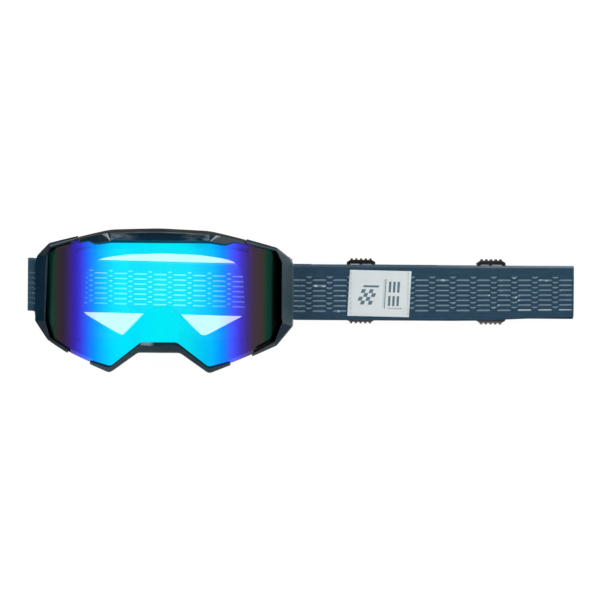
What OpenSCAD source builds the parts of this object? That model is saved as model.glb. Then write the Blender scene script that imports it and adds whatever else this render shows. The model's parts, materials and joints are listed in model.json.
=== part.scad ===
// Motocross goggles laid lens upwards, with the head strap folded under and beside them.
// X runs along the strap, Y points to the brow, Z points out of the lens, and the table is z = 0.

/* [Lens] */
// Outer radius of the lens, which curves about an axis along Y
lens_r = 105; // [102:0.5:112]
// Thickness of the lens sheet
lens_t = 1.2; // [0.8:0.1:1.6]
// Half of the lens width
lens_half_w = 86; // [84:0.5:87]
// Brow edge of the lens, above the origin
lens_top = 37.8; // [37:0.1:39]
// Lowest edge of the lens at each side of the nose, below the origin
lens_low = 55.9; // [55:0.1:57]
// Edge of the lens over the nose, below the origin
lens_nose = 41; // [40:0.1:42]
// Thickness of the gasket under the lens
gasket_t = 1; // [0.6:0.1:1.4]
// Width of the gasket and of the seat that carries it
seat_w = 6; // [4:0.5:7]
// Running gap round the lens edge
lens_gap = 0.3; // [0.2:0.05:0.5]

/* [Frame] */
// Depth of the frame at the temples, from the face foam to the gasket
temple_depth = 4.6; // [4:0.1:6]
// Distance from the lens edge in to the frame's side at the temples
side_lap = 4; // [3.5:0.1:5]
// Thickness of the frame wall
wall_t = 2.2; // [1.6:0.1:3]
// Thickness of the lens seat and of the face flange
flange_t = 1.6; // [1.2:0.1:2.2]
// Height of the brow rim above the lens
rim_h = 1.5; // [0.8:0.1:2]
// Width of each brow vent window
brow_vent_w = 17; // [10:0.5:20]
// Height of each brow vent window
brow_vent_h = 7; // [4:0.5:9]
// Width of each cheek vent window
cheek_vent_w = 9; // [6:0.5:11]
// Height of each cheek vent window
cheek_vent_h = 5; // [3:0.5:6]
// Thickness of the vent foams behind the windows
vent_foam_t = 3; // [2:0.5:4]
// How far a vent foam reaches past its windows
vent_foam_lap = 1; // [0.5:0.1:1.5]

/* [Face foam] */
// Radius of the face side of the foam
face_r = 120; // [112:1:130]
// Half of the foam width
foam_half_w = 78.5; // [76:0.5:79]
// Thickness of the firm foam on the frame
base_foam_t = 6; // [4:0.5:8]
// Thickness of the soft foam
comfort_foam_t = 6; // [4:0.5:8]
// Thickness of the fleece against the face
fleece_t = 2; // [1:0.25:3]
// Half of the width of the eye opening
eye_half_w = 58.5; // [54:0.5:60]

/* [Brow cover and nose channel] */
// Height of the brow cover plate above the lens
brow_h = 2.4; // [1.6:0.1:3]
// Extra height of the raised block on the brow cover
brow_block_h = 1.4; // [0.8:0.1:2]
// Half length of the raised block
brow_block_half = 41; // [36:0.5:42]
// Depth of the recess in the raised block
brow_recess = 0.8; // [0.4:0.1:1]
// Height of the nose channel above the lens
nose_h = 2.7; // [2:0.1:3.5]
// Depth that the nose channel grips below the lens surface
nose_grip = 5.5; // [4:0.1:6.5]

/* [Outriggers] */
// Thickness of the outrigger shell over the lens
outrigger_t = 2.7; // [2:0.1:3.5]
// Width of the outrigger beyond its inner edge, at the temple
outrigger_w = 8.8; // [8.5:0.1:9.2]
// Overlap of the outrigger on the lens edge
outrigger_lap = 1; // [0.6:0.1:2]
// Distance of the hinge pin beyond the lens edge
pin_out = 2.5; // [2.2:0.1:2.8]
// Height of the hinge pin above the table
pin_z = 9; // [8.8:0.1:9.4]
// Radius of the hinge pin
pin_r = 1.5; // [1.2:0.1:1.6]
// Running clearance of the outrigger on its pin
pin_gap = 0.05; // [0.02:0.01:0.1]
// Thickness of each frame lug and each outrigger ear
lug_t = 3; // [2:0.25:4]

/* [Strap] */
// Width of the elastic strap
strap_w = 38.6; // [34:0.2:42]
// Thickness of the strap
strap_t = 1.5; // [1.2:0.1:1.6]
// Gap between the layers of the strap
layer_gap = 0.3; // [0.2:0.05:0.4]
// Gap between a sewn tail and the strap it is sewn to
sewn_gap = 0.1; // [0.05:0.05:0.2]
// Distance that the strap's left fold stands out past the outrigger
left_fold_out = 7.2; // [6.5:0.1:12]
// Far right point of the strap's fold
right_fold_x = 296; // [292:0.5:320]
// Length of each tail sewn back at a slider
tail_len = 20; // [14:0.5:22]

/* [Sliders] */
// Place of the slider nearer to the goggles
near_x = 141.5; // [140:0.5:144]
// Place of the slider nearer to the fold
far_x = 236; // [234:0.5:238]
// Travel of each slider each way
slide_travel = 28; // [20:1:28]
// Length of a slider along the strap
slider_len = 20.6; // [18:0.2:21]
// Thickness of the outer bars of a slider
bar_t = 1.8; // [1.4:0.1:2]
// Width of the outer bars of a slider
bar_w = 2.6; // [2:0.1:3]
// Radius of the centre bar of a slider
centre_bar_r = 1; // [0.8:0.1:1.2]
// Reach of the toothed ears beyond the strap edge
ear_reach = 4.4; // [3.5:0.1:5]
// Number of teeth on each ear
teeth = 5; // [3:1:6]

/* [Label] */
// Left end of the sewn label
label_x = 132.5; // [130:0.5:134]
// Length of the label along the strap
label_len = 44.6; // [38:0.2:46]
// Height of the label across the strap
label_w = 33.3; // [30:0.1:34]
// Thickness of the label
label_t = 0.5; // [0.3:0.1:0.8]

/* [Hidden] */
$fn = 96;

// Clearances and small sizes shared by several pieces
touch = 0.01;
cover_gap = 0.3;
foam_gap = 0.2;
edge_gap = 0.3;
loop_gap = 0.05;
far = 200;
round_steps = 4;
fold_steps = 16;

// Heights of the curved layers, each a radius about an axis along Y
foam_t = base_foam_t + comfort_foam_t + fleece_t;
face_front_r = face_r + foam_t;
face_c = strap_t + layer_gap - sqrt(pow(face_r, 2) - pow(foam_half_w, 2));
gasket_r = lens_r - lens_t;
seat_r = gasket_r - gasket_t;
frame_half_w = lens_half_w - side_lap;
lens_c = layer_z(face_front_r, face_c, frame_half_w) + temple_depth - layer_z(seat_r, 0, frame_half_w);

// Places that the outlines share
pin_x = lens_half_w + pin_out;
rim_half = 58.5;
outer_x = lens_half_w - outrigger_lap + outrigger_w;

// Height of a layer of radius r about the axis height c, at a distance x from the centre
function layer_z(r, c, x) = c + sqrt(r * r - x * x);

// Outlines: the right half runs from the brow centre clockwise to the nose centre
function whole(h) = concat(h, [for (i = [len(h) - 1:-1:0]) if (h[i][0] > touch) [-h[i][0], h[i][1]]]);
function unit(v) = v / norm(v);
function out_normal(a, b) = let (d = unit(b - a)) [-d[1], d[0]];
function grow(p, w) = [
  for (i = [0:len(p) - 1])
    let (n = len(p), a = p[(i + n - 1) % n], b = p[i], c = p[(i + 1) % n])
      let (u = out_normal(a, b), v = out_normal(b, c)) b + w * (u + v) / (1 + u * v)
];
function corner(a, b, c, r) =
  let (s = b + unit(a - b) * min(r, norm(a - b) * 0.45), e = b + unit(c - b) * min(r, norm(c - b) * 0.45))
    [for (i = [0:round_steps]) let (t = i / round_steps) pow(1 - t, 2) * s + 2 * t * (1 - t) * b + t * t * e];
function rounded(p, r) = [
  for (i = [0:len(p) - 1])
    let (n = len(p)) each corner(p[(i + n - 1) % n], p[i], p[(i + 1) % n], r)
];

lens_half = [
  [0, lens_top], [34, lens_top - 1], [49, lens_top - 3.2], [60, lens_top - 5],
  [lens_half_w - 5.4, lens_top - 8.8], [lens_half_w, lens_top - 14.8], [lens_half_w, -26],
  [lens_half_w - 5.5, -34.5], [lens_half_w - 21.5, -45.3], [48.4, 4.1 - lens_low],
  [34.6, -lens_low], [32, 0.9 - lens_low], [13.3, -lens_nose], [0, -lens_nose]
];
frame_half = [
  [0, lens_top + 3.2], [34.5, lens_top + 2.1], [48.1, lens_top - 0.7], [59.4, lens_top - 3.2],
  [frame_half_w - 3, lens_top - 10], [frame_half_w, lens_top - 16.8], [frame_half_w, -25],
  [frame_half_w - 5, -33], [frame_half_w - 18.5, -42.5], [47.5, 7.1 - lens_low],
  [34, 3.1 - lens_low], [14.5, 2.7 - lens_nose], [0, 2.7 - lens_nose]
];
foam_half = [
  [0, 37], [34, 36], [50, 33], [62, 29.5], [foam_half_w - 4.5, 24.5], [foam_half_w, 18],
  [foam_half_w, -22], [foam_half_w - 5.5, -31.5], [60, -40], [46, -46], [37, -48.6], [33, -48.2],
  [17, -34.5], [9, -27], [0, -25.5]
];
eye_half = [
  [0, 24.5], [25, 23.5], [42, 20.5], [eye_half_w - 4.5, 12], [eye_half_w, 0], [eye_half_w, -12],
  [eye_half_w - 4.5, -21.5], [31, -33.3], [27, -33.3], [14, -19.2], [8, -12.5], [0, -11.5]
];
brow_half = [
  [0, lens_top + 1.1], [34.5, lens_top], [48.1, lens_top - 2.2], [rim_half, lens_top - 4.4],
  [rim_half, lens_top - 5.9], [50.9, lens_top - 4.8], [46.2, lens_top - 7.2],
  [43.2, lens_top - 7.3], [34.6, lens_top - 5.9], [0, lens_top - 5.9]
];
block_half = [
  [0, lens_top + 0.4], [brow_block_half - 6, lens_top - 0.8], [brow_block_half, lens_top - 3.4],
  [brow_block_half - 5, lens_top - 5.2], [0, lens_top - 5.2]
];
recess_half = [
  [0, lens_top - 0.6], [brow_block_half - 12, lens_top - 1.4], [brow_block_half - 16, lens_top - 4.4],
  [0, lens_top - 4.4]
];
nose_half = [
  [0, 3.3 - lens_nose], [12.6, 3.3 - lens_nose], [34.2, 1.3 - lens_low], [48.4, 4.1 - lens_low],
  [48.4, 1.7 - lens_low], [34.5, -2.7 - lens_low], [14.6, -3.3 - lens_nose], [0, -3.3 - lens_nose]
];
// The nose channel is listed from its inner edge outwards, so its order is turned before use
nose_outline = let (p = whole(nose_half)) [for (i = [len(p) - 1:-1:0]) p[i]];
outrigger_pts = [
  [59.4, lens_top - 3.2], [lens_half_w - 5.1, lens_top - 7.2], [outer_x - 1.8, lens_top - 14.9],
  [outer_x, lens_top - 19], [outer_x, -24.6], [lens_half_w - 4.3, -38.3],
  [lens_half_w - 20.2, -46.2], [lens_half_w - 21.4, -43.8], [lens_half_w - 5.6, -34.4],
  [lens_half_w - outrigger_lap, -26], [lens_half_w - outrigger_lap, lens_top - 18.3],
  [lens_half_w - 5.9, lens_top - 10.3], [59.7, lens_top - 6.1]
];

function lens_shape(w) = rounded(grow(whole(lens_half), w), 4);
function frame_shape(w) = rounded(grow(whole(frame_half), w), 4);
function eye_shape(w) = rounded(grow(whole(eye_half), w), 6);
foam_outline = rounded(whole(foam_half), 6);
vent_xs = [-36, -12, 12, 36];
cheek_xs = [43.5, 55];

// Shapes cut from the curved layers
module barrel(r, c) {
  translate([0, 0, c]) rotate([90, 0, 0]) cylinder(r = r, h = far, center = true, $fn = 240);
}

module prism(outline) {
  linear_extrude(height = far / 2) polygon(outline);
}

module ring(outer, inner) {
  linear_extrude(height = far / 2) difference() {
    polygon(outer);
    polygon(inner);
  }
}

// The part of a solid between two radii about one axis
module between(r_in, r_out, c) {
  difference() {
    intersection() {
      children();
      barrel(r_out, c);
    }
    barrel(r_in, c);
  }
}

// The space that the lens, its gasket and their running gap take up
module lens_space() {
  difference() {
    prism(lens_shape(lens_gap));
    barrel(seat_r, lens_c);
  }
}

module lens() {
  color([0.05, 0.75, 0.95, 0.6])
    between(lens_r - lens_t, lens_r, lens_c) prism(lens_shape(0));
}

module lens_gasket() {
  color([0.12, 0.12, 0.13])
    between(seat_r, gasket_r, lens_c) intersection() {
      ring(frame_shape(-foam_gap), frame_shape(-wall_t - seat_w));
      prism(lens_shape(0));
    }
}

// Middle height of the frame wall at x, where the vent windows lie
function wall_mid(x) = (layer_z(face_front_r + flange_t, face_c, x) + layer_z(seat_r - flange_t, lens_c, x)) / 2;
function wall_tilt(x) = atan((wall_mid(x + 1) - wall_mid(x - 1)) / 2);

module window(x, y, w, h) {
  translate([x, y, wall_mid(x)]) rotate([0, -wall_tilt(x), 0]) cube([w, 5 * wall_t, h], center = true);
}

// A lug that reaches from the frame wall at the temple down to the hinge pin
lug_r = pin_r + 1.5;
lug_y = strap_w / 2 + edge_gap;
module lug_side() {
  polygon([
    [frame_half_w - wall_t, layer_z(face_front_r, face_c, frame_half_w) + 1],
    [frame_half_w - wall_t, layer_z(seat_r, lens_c, frame_half_w - wall_t) - 0.6],
    [frame_half_w + 1.5, layer_z(seat_r, lens_c, frame_half_w + 1.5) - 0.6],
    [pin_x + lug_r * cos(35), pin_z + lug_r * sin(35)],
    [pin_x + lug_r * cos(215), pin_z + lug_r * sin(215)]
  ]);
}

// A flat piece drawn in x and z, standing between two values of y
module plate_y(y0, y1) {
  translate([0, y1, 0]) rotate([90, 0, 0]) linear_extrude(height = y1 - y0) children();
}

module temple_lugs() {
  for (side = [0, 1]) mirror([side, 0, 0])
    for (y = [lug_y, -lug_y - lug_t]) {
      plate_y(y, y + lug_t) lug_side();
      translate([pin_x, y + lug_t, pin_z]) rotate([90, 0, 0]) cylinder(r = lug_r, h = lug_t);
    }
}

module frame_chassis() {
  color([0.16, 0.16, 0.17]) difference() {
    union() {
      // The wall round the eyes
      difference() {
        intersection() {
          ring(frame_shape(0), frame_shape(-wall_t));
          barrel(seat_r, lens_c);
        }
        barrel(face_front_r, face_c);
        for (x = vent_xs) window(x, lens_top + 1, brow_vent_w, brow_vent_h);
        for (s = [-1, 1]) for (x = cheek_xs) window(s * x, 9 - lens_low, cheek_vent_w, cheek_vent_h);
      }
      // The seat under the lens gasket
      between(seat_r - flange_t, seat_r, lens_c) ring(frame_shape(0), frame_shape(-wall_t - seat_w));
      // The flange that the face foam is glued to
      between(face_front_r, face_front_r + flange_t, face_c) ring(frame_shape(0), eye_shape(1.5));
      // The rim above the brow edge of the lens
      difference() {
        intersection() {
          prism(frame_shape(0));
          barrel(lens_r + rim_h, lens_c);
          translate([-rim_half, 0, 0]) cube([2 * rim_half, far, far]);
        }
        barrel(seat_r - flange_t, lens_c);
        prism(frame_shape(-wall_t - 1));
        lens_space();
      }
      temple_lugs();
    }
    for (side = [-1, 1])
      translate([side * pin_x, 0, pin_z]) rotate([90, 0, 0]) cylinder(r = pin_r, h = far, center = true);
  }
}

// The foam layers between the face and the frame, counted outwards from the face
module foam_layer(r_in, t) {
  between(r_in, r_in + t, face_c) ring(foam_outline, eye_shape(0));
}

module foam_base() {
  color([0.13, 0.13, 0.14]) foam_layer(face_r + fleece_t + comfort_foam_t, base_foam_t);
}

module foam_comfort() {
  color([0.2, 0.24, 0.3]) foam_layer(face_r + fleece_t, comfort_foam_t);
}

module fleece_lining() {
  color([0.08, 0.1, 0.14]) foam_layer(face_r, fleece_t);
}

// Open foam strips behind the vent windows, held between the lens seat and the face flange
module vent_foam(x0, x1, y0) {
  color([0.2, 0.2, 0.2]) difference() {
    intersection() {
      ring(frame_shape(-wall_t), frame_shape(-wall_t - vent_foam_t));
      barrel(seat_r - flange_t - foam_gap, lens_c);
      translate([x0, y0, 0]) cube([x1 - x0, far, far]);
    }
    barrel(face_front_r + flange_t + foam_gap, face_c);
  }
}

module brow_vent_foam() {
  reach = vent_xs[3] + brow_vent_w / 2 + vent_foam_lap;
  vent_foam(-reach, reach, 0);
}

module cheek_vent_foam() {
  over = cheek_vent_w / 2 + vent_foam_lap;
  vent_foam(cheek_xs[0] - over, cheek_xs[1] + over, -far);
}

module left_cheek_vent_foam() {
  mirror([1, 0, 0]) cheek_vent_foam();
}

module right_cheek_vent_foam() {
  cheek_vent_foam();
}

module brow_cover() {
  color([0.04, 0.13, 0.2]) difference() {
    union() {
      between(lens_r + cover_gap, lens_r + brow_h, lens_c) prism(rounded(whole(brow_half), 1.2));
      between(lens_r + cover_gap, lens_r + brow_h + brow_block_h, lens_c) prism(rounded(whole(block_half), 2));
    }
    between(lens_r + brow_h + brow_block_h - brow_recess, lens_r + far, lens_c)
      prism(rounded(whole(recess_half), 1.5));
    // The rim of the frame, which the cover sits down over
    intersection() {
      ring(frame_shape(1), lens_shape(lens_gap));
      barrel(lens_r + rim_h, lens_c);
      translate([-far, 0, 0]) cube([2 * far, far, far]);
    }
  }
}

module nose_channel() {
  color([0.2, 0.26, 0.29]) difference() {
    between(lens_r - nose_grip, lens_r + nose_h, lens_c) prism(rounded(nose_outline, 1.5));
    difference() {
      lens_space();
      barrel(lens_r + cover_gap, lens_c);
    }
    lens_slot();
    // The frame inside the channel, which it is seated against
    intersection() {
      prism(frame_shape(0));
      barrel(lens_r, lens_c);
    }
  }
}

// The slot that the lens edge slides into
module lens_slot() {
  between(seat_r, lens_r + cover_gap, lens_c) prism(lens_shape(lens_gap));
}

// The right outrigger, in its own place
module outrigger() {
  ear_y = lug_y + lug_t + edge_gap;
  strap_pocket = strap_w / 2 + edge_gap + 0.4;
  top_r = lens_r + cover_gap + outrigger_t;
  difference() {
    union() {
      difference() {
        between(lens_r + cover_gap, top_r, lens_c) prism(rounded(outrigger_pts, 2));
        // The pocket that the strap loop turns in and leaves through
        between(0, top_r - 1.4, lens_c)
          translate([lens_half_w + 0.6, -strap_pocket, 0]) cube([far, 2 * strap_pocket, far]);
        translate([lens_half_w + 0.6, -strap_pocket, 0]) cube([far, 2 * strap_pocket, pin_z + 2.6]);
      }
      for (y = [ear_y, -ear_y - lug_t]) {
        plate_y(y, y + lug_t) polygon([
          [lens_half_w + 0.8, pin_z], [outer_x - 0.8, pin_z],
          [outer_x - 0.8, layer_z(lens_r + 1.2, lens_c, outer_x - 0.8)],
          [lens_half_w + 0.8, layer_z(lens_r + 1.2, lens_c, lens_half_w + 0.8)]
        ]);
        translate([pin_x, y + lug_t, pin_z]) rotate([90, 0, 0]) cylinder(r = pin_r + 2, h = lug_t);
      }
    }
    translate([pin_x, 0, pin_z]) rotate([90, 0, 0]) cylinder(r = pin_r + pin_gap, h = far, center = true);
  }
}

module right_outrigger() {
  color([0.2, 0.25, 0.29]) outrigger();
}

module left_outrigger() {
  color([0.08, 0.15, 0.22]) mirror([1, 0, 0]) outrigger();
}

module pin(side) {
  reach = lug_y + 2 * lug_t + edge_gap;
  color([0.6, 0.62, 0.64])
    translate([side * pin_x, reach, pin_z]) rotate([90, 0, 0]) cylinder(r = pin_r, h = 2 * reach);
}

module left_pin() {
  pin(-1);
}

module right_pin() {
  pin(1);
}

// Straps are drawn as a middle line in x and z, given the strap's thickness
function arc(c, r, a0, a1) = [
  for (i = [0:fold_steps]) let (a = a0 + (a1 - a0) * i / fold_steps) c + r * [cos(a), sin(a)]
];
function ease(a, b) = [
  for (i = [0:fold_steps])
    let (s = i / fold_steps) [a[0] + (b[0] - a[0]) * s, a[1] + (b[1] - a[1]) * (1 - cos(180 * s)) / 2]
];
function flip(p) = [for (q = p) [-q[0], q[1]]];
function band_normal(p, i) = let (d = unit(p[min(i + 1, len(p) - 1)] - p[max(i - 1, 0)])) [-d[1], d[0]];

module band(path) {
  plate_y(-strap_w / 2, strap_w / 2) polygon(concat(
    [for (i = [0:len(path) - 1]) path[i] + band_normal(path, i) * strap_t / 2],
    [for (i = [len(path) - 1:-1:0]) path[i] - band_normal(path, i) * strap_t / 2]
  ));
}

// Heights of the middle of each strap layer
table_z = strap_t / 2;
near_bar_z = bar_t + layer_gap + strap_t + layer_gap + strap_t + centre_bar_r;
inner_z = bar_t + layer_gap + strap_t / 2;
far_bar_z = strap_t + centre_bar_r;
outer_z = far_bar_z + centre_bar_r + strap_t + layer_gap + strap_t / 2;
far_bar_low = outer_z + strap_t / 2 + layer_gap;
front_z = far_bar_low + bar_t + layer_gap + strap_t / 2;
loop_r = pin_r + loop_gap + strap_t / 2;
tail_z = pin_z - loop_r;
leave_z = tail_z + strap_t + sewn_gap;

// The loop round a hinge pin, from the end of its sewn tail to where the strap leaves it
leave_angle = 59;
leave_start = [pin_x, pin_z] + loop_r * [cos(leave_angle), sin(leave_angle)];
leave_x = leave_start[0] + (leave_start[1] - leave_z) * tan(leave_angle);
function pin_loop(tail_x) = concat(
  [[tail_x, tail_z], [pin_x + 0.5, tail_z]],
  arc([pin_x, pin_z], loop_r, -90, leave_angle - 360),
  [[leave_x - 0.4, leave_z + 0.25], [leave_x + 0.6, leave_z]]
);

left_turn_r = (leave_z - table_z) / 2;
left_turn_x = left_turn_r + strap_t / 2 - outer_x - left_fold_out;
right_turn_r = (front_z - outer_z) / 2;
right_turn_x = right_fold_x - right_turn_r - strap_t / 2;
near_split = near_x + slide_travel + slider_len / 2 + 1;
far_split = far_x - slide_travel - slider_len / 2 - 1;
climb_x = near_x - slide_travel - slider_len / 2 - 2;

left_path = concat(
  flip(pin_loop(-left_turn_x - 0.5)),
  arc([left_turn_x, (leave_z + table_z) / 2], left_turn_r, 90, 270),
  ease([climb_x - 15, table_z], [climb_x, inner_z]),
  [[near_split, inner_z]]
);
right_path = concat(
  pin_loop(pin_x + 17),
  ease([pin_x + 9, leave_z], [pin_x + 24, front_z]),
  arc([right_turn_x, (front_z + outer_z) / 2], right_turn_r, 90, -90),
  [[far_split, outer_z]]
);

// The ends that run from one band to the slider they are sewn round
end_r = centre_bar_r + loop_gap + strap_t / 2;
near_tail_z = outer_z + strap_t + sewn_gap;
far_tail_z = inner_z - strap_t - sewn_gap;
right_end_path = concat(
  [[far_split, outer_z]],
  ease([near_x + 8, outer_z], [near_x + 1.5, near_bar_z - end_r]),
  arc([near_x, near_bar_z], end_r, -90, -270),
  ease([near_x + 1.5, near_bar_z + end_r], [near_x + 8, near_tail_z]),
  [[near_x + tail_len, near_tail_z]]
);
left_end_path = concat(
  [[near_split, inner_z]],
  ease([far_x - 8, inner_z], [far_x - 1.5, far_bar_z + end_r]),
  arc([far_x, far_bar_z], end_r, 90, -90),
  ease([far_x - 1.5, far_bar_z - end_r], [far_x - 8, far_tail_z]),
  [[far_x - tail_len, far_tail_z]]
);

strap_color = [0.13, 0.25, 0.35];

module left_strap() {
  color(strap_color) band(left_path);
}

module right_strap() {
  color(strap_color) band(right_path);
}

module left_strap_end() {
  color(strap_color) band(left_end_path);
}

module right_strap_end() {
  color(strap_color) band(right_end_path);
}

// A slider lies about its own centre: the outer bars are at height low, the centre bar at bar_z
tooth_w = 1.7;
tooth_h = 1.1;
ear_half = slider_len / 2 - 2.6;
ear_root = strap_w / 2 + edge_gap;
ear_top = strap_w / 2 + ear_reach;
ear_pts = concat(
  [[-slider_len / 2, ear_root], [-slider_len / 2, ear_root + 1.4]],
  [
    for (i = [0:teeth - 1])
      let (x = -ear_half + (2 * ear_half - tooth_w) * i / (teeth - 1))
        each [[x, ear_top - tooth_h], [x + 0.3, ear_top], [x + tooth_w - 0.3, ear_top], [x + tooth_w, ear_top - tooth_h]]
  ],
  [[slider_len / 2, ear_root + 1.4], [slider_len / 2, ear_root]]
);

module slider(low, bar_z, z0, z1) {
  reach = 2 * ear_root + 1;
  for (side = [0, 1]) mirror([0, side, 0])
    translate([0, 0, z0]) linear_extrude(height = z1 - z0) polygon(ear_pts);
  for (x = [-slider_len / 2, slider_len / 2 - bar_w])
    translate([x, -reach / 2, low]) cube([bar_w, reach, bar_t]);
  translate([0, reach / 2, bar_z]) rotate([90, 0, 0]) cylinder(r = centre_bar_r, h = reach);
}

module near_slider() {
  color([0.1, 0.1, 0.11])
    translate([near_x, 0, 0]) slider(0, near_bar_z, 0, near_bar_z + centre_bar_r);
}

module far_slider() {
  color([0.1, 0.1, 0.11])
    translate([far_x, 0, 0]) slider(far_bar_low, far_bar_z, far_bar_z - centre_bar_r, far_bar_low + bar_t);
}

// The label sewn to the front of the strap, nearer to its lower edge
front_top = front_z + strap_t / 2;
label_y = 0.8 - strap_w / 2;

module strap_label() {
  color([0.91, 0.93, 0.93])
    translate([label_x, label_y, front_top]) cube([label_len, label_w, label_t]);
}

stitch_len = 2.4;
stitch_pitch = 3.6;
stitch_w = 0.5;
stitch_h = 0.25;

// A row of stitches along Y
module stitch_row(x, y0, y1, z) {
  count = floor((y1 - y0 - stitch_len) / stitch_pitch);
  start = (y0 + y1 - count * stitch_pitch - stitch_len) / 2;
  for (i = [0:count])
    translate([x - stitch_w / 2, start + i * stitch_pitch, z]) cube([stitch_w, stitch_len, stitch_h]);
}

module label_stitching() {
  color([0.75, 0.78, 0.8])
    for (x = [label_x + 1.6, label_x + label_len - 1.6])
      stitch_row(x, label_y + 1, label_y + label_w - 1, front_top + label_t);
}

// Rows that hold the sewn tail of each loop, on the side of the strap that faces up
module right_loop_stitching() {
  color([0.2, 0.3, 0.4]) stitch_row(leave_x + 3.2, -strap_w / 2 + 2, strap_w / 2 - 2, leave_z + strap_t / 2);
}

module left_loop_stitching() {
  color([0.2, 0.3, 0.4])
    stitch_row(left_turn_x + 0.6, -strap_w / 2 + 2, strap_w / 2 - 2, leave_z + strap_t / 2);
}

lens();
lens_gasket();
frame_chassis();
brow_cover();
nose_channel();
left_outrigger();
right_outrigger();
left_pin();
right_pin();
foam_base();
foam_comfort();
fleece_lining();
brow_vent_foam();
left_cheek_vent_foam();
right_cheek_vent_foam();
left_strap();
right_strap();
left_strap_end();
right_strap_end();
near_slider();
far_slider();
strap_label();
label_stitching();
left_loop_stitching();
right_loop_stitching();
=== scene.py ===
"""Motocross goggles that lie lens upwards on their folded head strap, dressed round the fixed model.

Each class makes one group of pieces. Its sizes are fields, in millimetres, and its methods model the meshes
and give them their finish. X runs along the strap, Y points to the brow, Z points out of the lens.
"""
import json
import logging
import math
from collections.abc import Callable, Sequence
from dataclasses import dataclass, field
from enum import Enum, IntEnum

import bpy
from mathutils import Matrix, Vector

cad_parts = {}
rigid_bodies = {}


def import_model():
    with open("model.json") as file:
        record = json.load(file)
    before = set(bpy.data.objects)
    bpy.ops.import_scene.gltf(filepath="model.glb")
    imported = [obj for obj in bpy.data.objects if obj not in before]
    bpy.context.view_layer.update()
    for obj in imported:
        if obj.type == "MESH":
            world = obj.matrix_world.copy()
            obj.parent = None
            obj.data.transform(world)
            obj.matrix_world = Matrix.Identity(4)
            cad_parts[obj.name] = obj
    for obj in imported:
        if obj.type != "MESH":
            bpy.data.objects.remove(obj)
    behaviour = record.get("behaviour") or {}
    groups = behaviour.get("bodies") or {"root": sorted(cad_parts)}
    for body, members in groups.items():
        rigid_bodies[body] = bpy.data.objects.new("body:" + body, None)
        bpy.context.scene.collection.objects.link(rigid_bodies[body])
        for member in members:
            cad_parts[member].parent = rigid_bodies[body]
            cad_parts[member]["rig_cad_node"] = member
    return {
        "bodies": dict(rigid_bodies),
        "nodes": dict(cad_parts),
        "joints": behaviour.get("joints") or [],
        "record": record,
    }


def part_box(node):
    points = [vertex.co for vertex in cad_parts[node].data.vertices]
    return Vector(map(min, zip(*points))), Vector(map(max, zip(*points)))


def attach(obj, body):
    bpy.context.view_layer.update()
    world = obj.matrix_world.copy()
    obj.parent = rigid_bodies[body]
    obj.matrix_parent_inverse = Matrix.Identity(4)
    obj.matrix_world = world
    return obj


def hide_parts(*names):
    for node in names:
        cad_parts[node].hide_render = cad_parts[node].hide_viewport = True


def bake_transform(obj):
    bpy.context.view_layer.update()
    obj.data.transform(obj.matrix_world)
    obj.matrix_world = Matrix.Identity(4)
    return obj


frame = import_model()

LOG = logging.getLogger("goggles")
MM = 0.001
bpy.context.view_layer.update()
PIN_X, PIN_Z = 88.5, 9.0
FACE_R = 134.0

Flat = tuple[float, float]
Spot = tuple[float, float, float]
Colour = tuple[float, float, float]
Piece = bpy.types.Object


def srgb(*shares: float) -> Colour:
    """Turns a colour as a screen shows it into the linear light that shaders use.

    Args:
        shares: Red, green and blue, from 0 to 255.

    Returns:
        The linear colour.
    """
    parts = (share / 255 for share in shares)
    return tuple(part / 12.92 if part <= 0.04045 else ((part + 0.055) / 1.055) ** 2.4 for part in parts)


def unit(x: float, y: float) -> Flat:
    """The direction of a flat vector, at length 1."""
    size = math.hypot(x, y)
    return x / size, y / size


def mirrored(half: Sequence[Flat]) -> list[Flat]:
    """Completes a clockwise outline from its right half, which runs from the brow to the nose."""
    return list(half) + [(-x, y) for x, y in reversed(half) if x > 0.01]


def grown(points: Sequence[Flat], width: float) -> list[Flat]:
    """Moves each edge of a clockwise outline outwards.

    Args:
        points: Corners of the outline.
        width: Distance outwards; inwards where it is negative.

    Returns:
        Corners of the new outline.
    """
    found = []
    for i, (x, y) in enumerate(points):
        before, after = points[i - 1], points[(i + 1) % len(points)]
        ux, uy = unit(x - before[0], y - before[1])
        vx, vy = unit(after[0] - x, after[1] - y)
        share = width / (1 + ux * vx + uy * vy)
        found.append((x - share * (uy + vy), y + share * (ux + vx)))
    return found


def rounded(points: Sequence[Flat], radius: float, steps: int = 4) -> list[Flat]:
    """Rounds each corner of an outline with a curve.

    Args:
        points: Corners of the outline.
        radius: How far from a corner its curve starts.
        steps: Pieces of each curve.

    Returns:
        Points of the rounded outline.
    """
    found = []
    for i, corner in enumerate(points):
        ends = []
        for other in (points[i - 1], points[(i + 1) % len(points)]):
            size = math.dist(corner, other)
            share = min(radius, 0.45 * size) / size
            ends.append(tuple(c + (o - c) * share for c, o in zip(corner, other)))
        for step in range(steps + 1):
            t = step / steps
            near, turn, far = (1 - t) ** 2, 2 * t * (1 - t), t * t
            found.append(tuple(near * a + turn * c + far * b for a, c, b in zip(ends[0], corner, ends[1])))
    return found


def along(points: Sequence[Flat], x: float) -> float:
    """Height of a line of corners at x, with both ends level beyond their x."""
    for (x0, y0), (x1, y1) in zip(points, points[1:]):
        if x <= x1:
            return y0 + (y1 - y0) * max(x - x0, 0) / (x1 - x0)
    return points[-1][1]


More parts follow.
